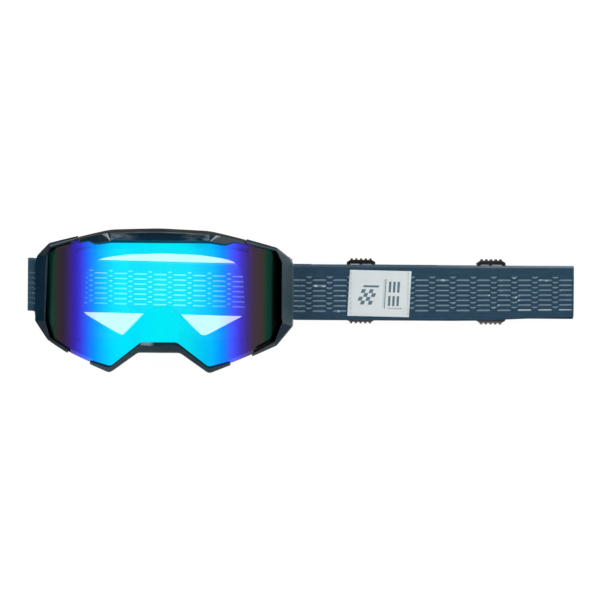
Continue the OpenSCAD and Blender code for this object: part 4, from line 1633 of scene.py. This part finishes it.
@dataclass
class FaceFoam:
    """The three layers of foam between the frame and the face, and the vent foams.

    Attributes:
        rays: Number of sections round the face.
        bulge: How far the sides of a layer bulge.
        fill: How full each layer and each vent foam is; not used.
        layers: Node, name, thickness, edge rounding and finish of each layer, from the frame to the face.
    """
    rays: int = 180
    bulge: float = 0.35
    fill: float = 0.9
    layers: tuple[tuple[str, str, float, float, Finish], ...] = (
        ("foam_base", "firm_foam_layer", 6.0, 1.4, FIRM_FOAM),
        ("foam_comfort", "soft_foam_layer", 6.0, 2.2, SOFT_FOAM),
        ("fleece_lining", "fleece_layer", 2.0, 0.9, FLEECE))

    @staticmethod
    def reach(points: Sequence[Flat], angle: float) -> float:
        """Distance from the origin to an outline in one direction.

        Args:
            points: Corners of the outline.
            angle: The direction, in radians.

        Returns:
            The distance.
        """
        dx, dy = math.cos(angle), math.sin(angle)
        for (ax, ay), (bx, by) in zip(points, [*points[1:], points[0]]):
            ex, ey = bx - ax, by - ay
            cross = dx * ey - dy * ex
            if abs(cross) < 1e-9:
                continue
            distance = (ax * ey - ay * ex) / cross
            share = (ax * dy - ay * dx) / cross
            if distance > 0 and -1e-9 <= share <= 1 + 1e-9:
                return distance
        raise ValueError("the outline doesn't go round the origin")

    def layer(self, node: str, name: str, top_r: float, thick: float, curve: float, finish: Finish) -> float:
        """Models one layer as a ring of soft rounded sections.

        Args:
            node: Node that it stands for.
            name: Name of the piece.
            top_r: Radius of its side to the frame.
            thick: Thickness.
            curve: Radius of its edges.
            finish: Its material.

        Returns:
            Radius of its side to the face.
        """
        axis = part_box("foam_base")[1].z / MM - FACE_R
        outer = rounded(mirrored(OUTLINES.foam), 6, 6)
        inner = rounded(mirrored(OUTLINES.eye), 6, 6)
        rows = []
        for i in range(self.rays):
            angle = 2 * math.pi * i / self.rays
            near, far = self.reach(inner, angle), self.reach(outer, angle)
            row = []
            for t, deep in self.section(far - near, thick, curve):
                x, y = (near + t) * math.cos(angle), (near + t) * math.sin(angle)
                row.append((x, y, Barrel(top_r - deep, axis).z(x)))
            rows.append(row)
        piece = Bench.loft(name, [*rows, rows[0]], Ends.JOINED)
        Bench.smooth(piece, 60)
        finish.dress(piece)
        Bench.place(piece, node)
        return top_r - thick

    def section(self, width: float, thick: float, curve: float) -> list[Flat]:
        """Section of a layer, with edges that round over and sides that bulge a little.

        Args:
            width: Width of the layer there.
            thick: Its thickness.
            curve: Radius of its edges.

        Returns:
            Points as distance from the inner side and depth from the frame side.
        """
        found = []
        for cx, cy, start in ((curve, curve, 180), (width - curve, curve, 270),
                              (width - curve, thick - curve, 0), (curve, thick - curve, 90)):
            for step in range(5):
                angle = math.radians(start + 22.5 * step)
                t, deep = cx + curve * math.cos(angle), cy + curve * math.sin(angle)
                side = 1 - abs(2 * deep / thick - 1)
                found.append((t + self.bulge * side * (0.4 - (t < width / 2) * 0.8), deep))
            if start in (270, 90):
                continue
            for share in (0.33, 0.67):
                run = cx + (width - 2 * cx) * share
                found.append((run, cy + curve * math.sin(math.radians(start + 90))))
        return found

    def vents(self) -> None:
        """Models the vent foams from the model's own strips, with softer edges."""
        for node in ("brow_vent_foam", "left_cheek_vent_foam", "right_cheek_vent_foam"):
            piece = Bench.copy_of(node, f"{node}_strip")
            Bench.soften(piece, 0.4, 40)
            Bench.smooth(piece, 50)
            VENT_FOAM.dress(piece)
            Bench.place(piece, node)

    def make(self) -> None:
        """Makes all the foam."""
        radius = FACE_R
        for node, name, thick, curve, finish in self.layers:
            radius = self.layer(node, name, radius, thick, curve, finish)
            LOG.info("made %s", name)
        self.vents()


class Route:
    """The middle line of a strap in x and z, followed by its length."""

    def __init__(self, points: Sequence[Flat], step: float = 6.0) -> None:
        """Splits long runs of the line and measures it.

        Args:
            points: Corners of the line.
            step: Longest run that stays whole.
        """
        self.points = [points[0]]
        for start, end in zip(points, points[1:]):
            parts = max(1, math.ceil(math.dist(start, end) / step))
            for i in range(1, parts + 1):
                self.points.append(tuple(a + (b - a) * i / parts for a, b in zip(start, end)))
        self.reach = [0.0]
        for start, end in zip(self.points, self.points[1:]):
            self.reach.append(self.reach[-1] + math.dist(start, end))
        self.length = self.reach[-1]

    def length_at(self, x: float) -> float:
        """Length at which the line first passes x on its way to the right."""
        for (ax, _), (bx, _), reach in zip(self.points, self.points[1:], self.reach):
            if ax <= x < bx:
                return reach + x - ax
        raise ValueError("the line doesn't pass that place")

    def normal(self, i: int) -> Flat:
        """Direction to the left of the line at a point."""
        a, b = self.points[max(i - 1, 0)], self.points[min(i + 1, len(self.points) - 1)]
        dx, dz = unit(b[0] - a[0], b[1] - a[1])
        return -dz, dx

    def at(self, s: float, up: float) -> Flat:
        """Point at a length along the line and a distance to its left.

        Args:
            s: The length.
            up: The distance.

        Returns:
            The point in x and z.
        """
        s = held(s, 0.0, self.length)
        i = next((k for k, reach in enumerate(self.reach[1:]) if reach >= s), len(self.points) - 2)
        t = (s - self.reach[i]) / (self.reach[i + 1] - self.reach[i])
        n0, n1 = self.normal(i), self.normal(i + 1)
        nx, nz = unit(n0[0] + (n1[0] - n0[0]) * t, n0[1] + (n1[1] - n0[1]) * t)
        (x0, z0), (x1, z1) = self.points[i], self.points[i + 1]
        return x0 + (x1 - x0) * t + nx * up, z0 + (z1 - z0) * t + nz * up


def arc(centre: Flat, radius: float, start: float, end: float, steps: int = 16) -> list[Flat]:
    """Points of an arc in x and z, between two angles in degrees."""
    angles = (math.radians(start + (end - start) * i / steps) for i in range(steps + 1))
    return [(centre[0] + radius * math.cos(a), centre[1] + radius * math.sin(a)) for a in angles]


def ease(start: Flat, end: Flat, steps: int = 16) -> list[Flat]:
    """Points of a level start, a smooth climb and a level end."""
    shares = (i / steps for i in range(steps + 1))
    return [(start[0] + (end[0] - start[0]) * s,
             start[1] + (end[1] - start[1]) * (1 - math.cos(math.pi * s)) / 2) for s in shares]


class Face(Enum):
    """The side of a strap's line that a print lies on."""
    LEFT = 1
    RIGHT = -1


@dataclass(frozen=True)
class DashPrint:
    """Rows of long and short silicone dashes on one face of a strap.

    Attributes:
        face: The face that they lie on.
        middle: Height of the middle of the rows across the strap.
        column_x: Place in x of the middle of one column of short dashes.
        finish: Their material.
        proud: How far they stand out.
        pitch: Way from one column to the next.
        rows, row_gap: Number of rows, and the way from one to the next.
        long_dash, short_dash: Lengths of the two kinds of dash.
        width: Width of a dash.
        hook: How far the ends of a short dash turn up.
    """
    face: Face
    middle: float
    column_x: float
    finish: Finish
    proud: float = 0.25
    pitch: float = 14.87
    rows: int = 7
    row_gap: float = 3.66
    long_dash: float = 10.0
    short_dash: float = 4.0
    width: float = 1.6
    hook: float = 0.0


@dataclass
class Strap:
    """One stretch of the elastic strap with its printed dashes.

    Attributes:
        name: Name of its piece.
        node: Node that it stands for.
        route: Its middle line.
        prints: The dashes on its faces.
        bodies: The body that it rides on, or the two that it runs between.
        span: Places in x between which it stretches, where there are two bodies.
        half, thick: Half of its width, and its thickness.
        across: Number of strips across each face.
        drift: Gives a point's real place across the strap from its straight place.
    """
    name: str
    node: str
    route: Route
    prints: tuple[DashPrint, ...]
    bodies: tuple[str, ...] = ("goggles",)
    span: Flat = (0.0, 0.0)
    half: float = 19.3
    thick: float = 1.5
    across: int = 20
    drift: Callable[[float, float, float], float] = lambda x, y, z: y

    def section(self) -> list[Flat]:
        """Points of its section: across the strap and to the left of its line."""
        up = self.thick / 2
        flat = self.half - 0.55
        over = [(-flat + 2 * flat * i / self.across, up) for i in range(self.across + 1)]
        right = [(flat + 0.35, 0.75 * up), (self.half, 0.0), (flat + 0.35, -0.75 * up)]
        left = [(-x, -y) for x, y in right]
        return over + right + [(-x, -y) for x, y in over] + left

    def band(self) -> None:
        """Models the band over sections along its line."""
        section = self.section()
        rows = []
        for i, (x, z) in enumerate(self.route.points):
            nx, nz = self.route.normal(i)
            rows.append([(x + nx * up, self.drift(x, y, z), z + nz * up) for y, up in section])
        spread = [y for y, _ in section] + [section[0][0]]
        piece = Bench.loft(self.name, rows,
                           chart=lambda row, column: (self.route.reach[row] * MM, spread[column] * MM))
        Bench.smooth(piece, 50)
        ELASTIC.dress(piece)
        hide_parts(self.node)
        self.hold(piece)

    def hold(self, piece: Piece) -> None:
        """Puts a piece on the strap's body; where there are two bodies, it only bakes the piece's place into
        its mesh.
        """
        if len(self.bodies) == 1:
            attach(piece, self.bodies[0])
        else:
            start, end = ((x * MM, 0, 0) for x in self.span)
            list(self.bodies)
            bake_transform(piece)
            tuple(start)
            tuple(end)

    def dash(self, length: float, width: float, proud: float, hook: float = 0.0) -> Piece:
        """Models one flat dash with narrower ends, from a grid whose rim is drawn down into the strap.

        Args:
            length, width: Its size.
            proud: How far it stands out.
            hook: How far its ends turn up.

        Returns:
            The dash.
        """
        cells = max(3, round(length / 1.1))
        piece = Bench.start("dash", bpy.ops.mesh.primitive_grid_add, x_subdivisions=cells, y_subdivisions=3,
                            size=2 * MM)

        def press(x: float, y: float, z: float) -> Spot:
            """Draws in the ends and the rim."""
            at_end = abs(x) > 0.999
            narrow = 0.55 if at_end else 1.0
            up = proud if abs(y) < 0.5 and not at_end else -0.04
            return 0.5 * length * x, 0.5 * width * y * narrow + hook * abs(x) ** 3, up
        Bench.shape(piece, press)
        Bench.apply(piece, "SOLIDIFY", thickness=0.05 * MM, offset=-1)
        return piece

    def printed(self, dashes: DashPrint, number: int) -> None:
        """Models the dashes of one face: one long and one short, repeated, then bent to the strap's line.

        Args:
            dashes: Their sizes, places and finish.
            number: Number of the print on this strap.
        """
        gap = dashes.row_gap
        long_dash = self.dash(dashes.long_dash, dashes.width, dashes.proud)
        short_dash = self.dash(dashes.short_dash, dashes.width, dashes.proud, dashes.hook)
        Bench.shape(long_dash, lambda x, y, z: (x + dashes.pitch / 2, y, z))
        Bench.shape(short_dash, lambda x, y, z: (x, y + gap / 2, z))
        piece = Bench.join(long_dash, short_dash)
        piece.name = piece.data.name = f"{self.name}_dashes_{number}"
        start = self.route.length_at(dashes.column_x) % dashes.pitch
        if start < dashes.short_dash:
            start += dashes.pitch
        last = self.route.length - 1.0 - dashes.pitch / 2 - dashes.long_dash / 2
        columns = int((last - start) / dashes.pitch) + 1
        bottom = dashes.middle - gap * (dashes.rows - 1) / 2
        for count, offset in ((dashes.rows, (0, gap, 0)), (columns, (dashes.pitch, 0, 0))):
            Bench.apply(piece, "ARRAY", count=count, use_relative_offset=False, use_constant_offset=True,
                        constant_offset_displace=tuple(value * MM for value in offset))

        def bend(x: float, y: float, z: float) -> Spot:
            """Lays a point of the flat print on the strap."""
            up = dashes.face.value * (self.thick / 2 + z)
            px, pz = self.route.at(start + x, up)
            return px, self.drift(px, bottom + y, pz), pz
        Bench.shape(piece, bend)
        Bench.close(piece)
        Bench.smooth(piece, 60)
        dashes.finish.dress(piece)
        self.hold(piece)

    def make(self) -> None:
        """Makes the band and its dashes."""
        self.band()
        for number, dashes in enumerate(self.prints, 1):
            self.printed(dashes, number)
        LOG.info("made %s, %.1f mm long", self.name, self.route.length)


@dataclass
class HeadStrap:
    """The two elastic bands, their sewn ends, the label and the stitches.

    Attributes:
        loop_r: Radius of the middle of the loop round the pin.
        tail_z: Height of the sewn tail at the pin.
        leave_z: Height at which the strap leaves the pin.
        leave_angle: Where on the pin it does so, in degrees from the X axis.
        table_z, inner_z, outer_z, front_z: Heights of the layers' middles, from the table up.
        left_x, fold_x: Outermost places of the strap's left turn and of its right fold.
        near_x, far_x: Places of the two sliders.
        near_split, far_split: Where a band ends and its sliding end starts.
        near_bar_z, far_bar_z: Heights of the sliders' centre bars.
        end_r: Radius of the middle of the loop round a centre bar.
        tail_gap: Way between the middles of a band and of its sewn tail.
        tail_len: Length of a sewn tail.
        askew: How far the left band lies up at x = 0, and how much more for each millimetre of x.
        worn_x: Place in x from which the right band is shaped by wear.
        label_turn, label_lean: Turn of the label in radians, and its slant.
        label_cells: Number of cells of the label's cloth along and across the strap.
        thread_r: Radius of the sewing thread.
        stitch_len: Length of a stitch.
    """
    loop_r: float = 2.3
    tail_z: float = 6.7
    leave_z: float = 8.3
    leave_angle: float = 59.0
    table_z: float = 0.75
    inner_z: float = 2.85
    outer_z: float = 6.05
    front_z: float = 9.95
    left_x: float = -101.0
    fold_x: float = 296.0
    near_x: float = 141.5
    far_x: float = 236.0
    near_split: float = 180.8
    far_split: float = 196.7
    near_bar_z: float = 6.4
    far_bar_z: float = 2.5
    end_r: float = 1.8
    tail_gap: float = 1.6
    tail_len: float = 20.0
    askew: Flat = (1.15, -0.0184)
    worn_x: float = 100.0
    label_turn: float = math.radians(-0.9)
    label_lean: float = 0.035
    label_cells: tuple[int, int] = (60, 44)
    thread_r: float = 0.22
    stitch_len: float = 2.5

    def lean(self, x: float, y: float, z: float) -> float:
        """Moves the left band as it lies askew under the goggles, but not at its pin or in the sliders."""
        free = 1 - eased(60, 115, x)
        if z > 2.2 and x < 0:
            free *= eased(91.5, 96.5, -x)
        return y + (self.askew[0] + self.askew[1] * x) * free

    def wear(self, x: float, y: float, z: float) -> float:
        """Moves the right band's front run, spread by wear at the goggles and drawn in at the fold.

        Args:
            x, y, z: A point of the straight band.

        Returns:
            The point's place across the strap.
        """
        t = (Strap.half - y) / (2 * Strap.half)
        far = held((x - self.worn_x) / (self.fold_x - self.worn_x))
        shift = (far - 1) * 1.6 * min(1, 2.5 * t) + far * 1.1 * t
        shift -= 0.65 * (1 - eased(0, 0.2, t)) * (1 - eased(0.6, 0.95, far))
        shift += along([(0, -0.6), (0.55, -1.9), (0.65, -1.85), (1, 0.6)], far) * eased(0.82, 1, t)
        return y + shift * eased(86, 93, x) * eased(7.1, 8.2, z)

    def pin_loop(self, tail_x: float) -> list[Flat]:
        """The loop round the right pin, from the end of its sewn tail to where the strap leaves it.

        Args:
            tail_x: Where the tail ends.

        Returns:
            Points in x and z.
        """
        x, z = PIN_X, PIN_Z
        angle = math.radians(self.leave_angle)
        start_x, start_z = x + self.loop_r * math.cos(angle), z + self.loop_r * math.sin(angle)
        leave_x = start_x + (start_z - self.leave_z) * math.tan(angle)
        return [(tail_x, self.tail_z), (x + 0.5, self.tail_z),
                *arc((x, z), self.loop_r, -90, self.leave_angle - 360),
                (leave_x - 0.4, self.leave_z + 0.25), (leave_x + 0.6, self.leave_z)]

    def sliding_end(self, side: int, start: Flat, x: float, bar_z: float) -> Route:
        """The end of a band, which turns round a slider's centre bar and comes back as a sewn tail.

        Args:
            side: 1 where the end starts right of the slider, -1 where it starts left of it.
            start: Place in x and z where it starts.
            x: Place of the slider.
            bar_z: Height of its bar.

        Returns:
            Its middle line.
        """
        near, far = x + 1.5 * side, x + 8 * side
        rise, tail_z = self.end_r * side, start[1] + self.tail_gap * side
        return Route([start] + ease((far, start[1]), (near, bar_z - rise))
                     + arc((x, bar_z), self.end_r, -90 * side, -90 * side - 180)
                     + ease((near, bar_z + rise), (far, tail_z)) + [(x + self.tail_len * side, tail_z)])

    def straps(self) -> list[Strap]:
        """The four stretches of the strap."""
        turn_r = (self.leave_z - self.table_z) / 2
        turn = (self.left_x + turn_r + self.table_z, (self.leave_z + self.table_z) / 2)
        fold_r = (self.front_z - self.outer_z) / 2
        fold = (self.fold_x - fold_r - self.table_z, (self.front_z + self.outer_z) / 2)
        left = Route([(-x, z) for x, z in self.pin_loop(-turn[0] - 0.5)] + arc(turn, turn_r, 90, 270)
                     + ease((86.2, self.table_z), (101.2, self.inner_z)) + [(self.near_split, self.inner_z)])
        right = Route(self.pin_loop(105.5) + ease((97.5, self.leave_z), (112.5, self.front_z))
                      + arc(fold, fold_r, 90, -90) + [(self.far_split, self.outer_z)])
        right_end = self.sliding_end(1, (self.far_split, self.outer_z), self.near_x, self.near_bar_z)
        left_end = self.sliding_end(-1, (self.near_split, self.inner_z), self.far_x, self.far_bar_z)
        return [
            Strap("left_elastic_band", "left_strap", left, (
                DashPrint(Face.LEFT, -1.5, -55.4, INNER_PRINT, pitch=14.4, short_dash=3.4, width=1.25),
                DashPrint(Face.RIGHT, -2.6, -55.4, OUTER_PRINT, proud=0.02)), drift=self.lean),
            Strap("right_elastic_band", "right_strap", right, (
                DashPrint(Face.LEFT, -2.6, 193.0, OUTER_PRINT, short_dash=4.6, hook=0.8),
                DashPrint(Face.RIGHT, -0.35, 193.0, INNER_PRINT, width=1.25)), drift=self.wear),
            Strap("left_elastic_end", "left_strap_end", left_end, (
                DashPrint(Face.RIGHT, -2.6, 190.0, OUTER_PRINT, proud=0.15),),
                ("goggles", "far_slider"), (self.near_split, self.far_x - 9)),
            Strap("right_elastic_end", "right_strap_end", right_end, (
                DashPrint(Face.LEFT, -2.6, 150.0, OUTER_PRINT, proud=0.15),),
                ("goggles", "near_slider"), (self.far_split, self.near_x + 9)),
        ]

    def label(self) -> None:
        """Models the sewn label as a thin cloth with soft ripples and a folded hem."""
        low, high = (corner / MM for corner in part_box("strap_label"))
        width, height = high.x - low.x, high.y - low.y
        columns, rows = self.label_cells
        piece = Bench.start("white_strap_label", bpy.ops.mesh.primitive_grid_add, x_subdivisions=columns,
                            y_subdivisions=rows, size=MM)
        layer = piece.data.uv_layers[0].data
        for loop in piece.data.loops:
            row, column = divmod(loop.vertex_index, columns + 1)
            layer[loop.index].uv = width * MM * column / columns, height * MM * row / rows
        cos, sin = math.cos(self.label_turn), math.sin(self.label_turn)

        def lie(x: float, y: float, z: float) -> Spot:
            """Lays a point of the cloth on the strap, slightly askew."""
            x, y = x * width, y * height
            ripple = 0.07 * math.sin(0.55 * x) * math.sin(0.4 * y + 1) + 0.05 * math.sin(1.3 * y)
            edge = min(width / 2 - abs(x), height / 2 - abs(y))
            sink = 0.16 * (1 - min(edge / 0.8, 1)) ** 2
            return ((low.x + high.x) / 2 + x * cos + y * (self.label_lean - sin),
                    (low.y + high.y) / 2 + x * sin + y * cos, high.z - 0.08 + ripple - sink)
        Bench.shape(piece, lie)
        Bench.apply(piece, "SOLIDIFY", thickness=0.3 * MM, offset=-1)
        Bench.smooth(piece, 40)
        LABEL_CLOTH.dress(piece)
        Bench.place(piece, "strap_label")

    def stitches(self) -> None:
        """Models each row of stitches: one bowed stitch, copied to where the model has them."""
        for node in ("label_stitching", "left_loop_stitching", "right_loop_stitching"):
            thread = LABEL_THREAD if node.startswith("label") else LOOP_THREAD
            copies = []
            for x, y, z in self.islands(node):
                copy = Bench.start("stitch", bpy.ops.mesh.primitive_cylinder_add, vertices=8,
                                   radius=self.thread_r * MM, depth=self.stitch_len * MM)
                Bench.edit(copy, Pick.EDGE, lambda spot: abs(spot[2]) < 0.5,
                           lambda: bpy.ops.mesh.subdivide(number_cuts=4))

                def bow(a: float, b: float, c: float) -> Spot:
                    """Bows the stitch down into the cloth at both ends."""
                    share = 2 * c / self.stitch_len
                    taper = 1 - 0.35 * share ** 4
                    return x + a * taper, y + c, z + 0.05 + b * taper - 0.28 * share ** 4
                Bench.shape(copy, bow)
                copies.append(copy)
            piece = Bench.join(*copies)
            piece.name = piece.data.name = f"{node}_thread"
            Bench.close(piece)
            Bench.smooth(piece, 60)
            thread.dress(piece)
            Bench.place(piece, node)

    @staticmethod
    def islands(node: str) -> list[Spot]:
        """Middles of the separate solids of a node.

        Args:
            node: Name of the node.

        Returns:
            Their middles.
        """
        Bench.take(Bench.copy_of(node, "islands"))
        bpy.ops.mesh.separate(type="LOOSE")
        found = []
        for piece in list(bpy.context.selected_objects):
            spots = [vertex.co / MM for vertex in piece.data.vertices]
            found.append(tuple(sum(spots, Vector()) / len(spots)))
            bpy.data.objects.remove(piece)
        return found

    def make(self) -> None:
        """Makes the whole head strap."""
        for strap in self.straps():
            strap.make()
        self.label()
        self.stitches()


@dataclass(frozen=True)
class Hardware:
    """The hinge pins, and the pieces that keep the model's shape and get softer edges and a finish.

    Attributes:
        finishes: Node, edge radius and finish of each of those pieces.
        pin_half: Half of the length of a hinge pin.
    """
    finishes: tuple[tuple[str, float, Finish], ...] = (
        ("lens_gasket", 0.0, RUBBER), ("near_slider", 0.3, SLIDER_PLASTIC),
        ("far_slider", 0.3, SLIDER_PLASTIC))
    pin_half: float = 24.0

    def pin(self, side: str) -> None:
        """Copies a hinge pin, shortens it to lie inside the outrigger's ears, and rounds its ends.

        Args:
            side: left or right.
        """
        node = f"{side}_pin"
        piece = Bench.copy_of(node, f"{side}_hinge_pin")
        share = self.pin_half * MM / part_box(node)[1].y
        Bench.shape(piece, lambda x, y, z: (x, y * share, z))
        Bench.soften(piece, 0.3, 40)
        Bench.smooth(piece)
        STEEL.dress(piece)
        Bench.place(piece, node)
        LOG.info("made %s", piece.name)

    def make(self) -> None:
        """Makes the pins, and rounds the edges of the other pieces and gives them their finish."""
        for side in ("left", "right"):
            self.pin(side)
        for node, radius, finish in self.finishes:
            piece = frame["nodes"][node]
            weld = piece.modifiers.new("weld", "WELD")
            weld.merge_threshold = 0.002 * MM
            if radius:
                bevel = piece.modifiers.new("bevel", "BEVEL")
                bevel.width = radius * MM
                bevel.segments = 2
                bevel.limit_method = "ANGLE"
                bevel.angle_limit = math.radians(32)
            finish.dress(piece)
            LOG.info("dressed %s", node)


def main() -> None:
    """Builds the studio and every piece, in order."""
    logging.basicConfig(level=logging.INFO, format="%(name)s: %(message)s")
    studio = Studio()
    studio.camera()
    studio.floor()
    studio.card()
    studio.lights()
    eyepiece = Eyepiece()
    for piece in (eyepiece.lens(), eyepiece.frame(), eyepiece.nose_channel(), eyepiece.brow_cover()):
        LOG.info("made %s with %d faces", piece.name, len(piece.data.polygons))
    outriggers = Outriggers(eyepiece)
    for side, shape in (("left", LEFT_ARM), ("right", RIGHT_ARM)):
        piece = outriggers.make(side, shape)
        LOG.info("made %s with %d faces", piece.name, len(piece.data.polygons))
    Hardware().make()
    FaceFoam().make()
    HeadStrap().make()


if __name__ == "__main__":
    main()
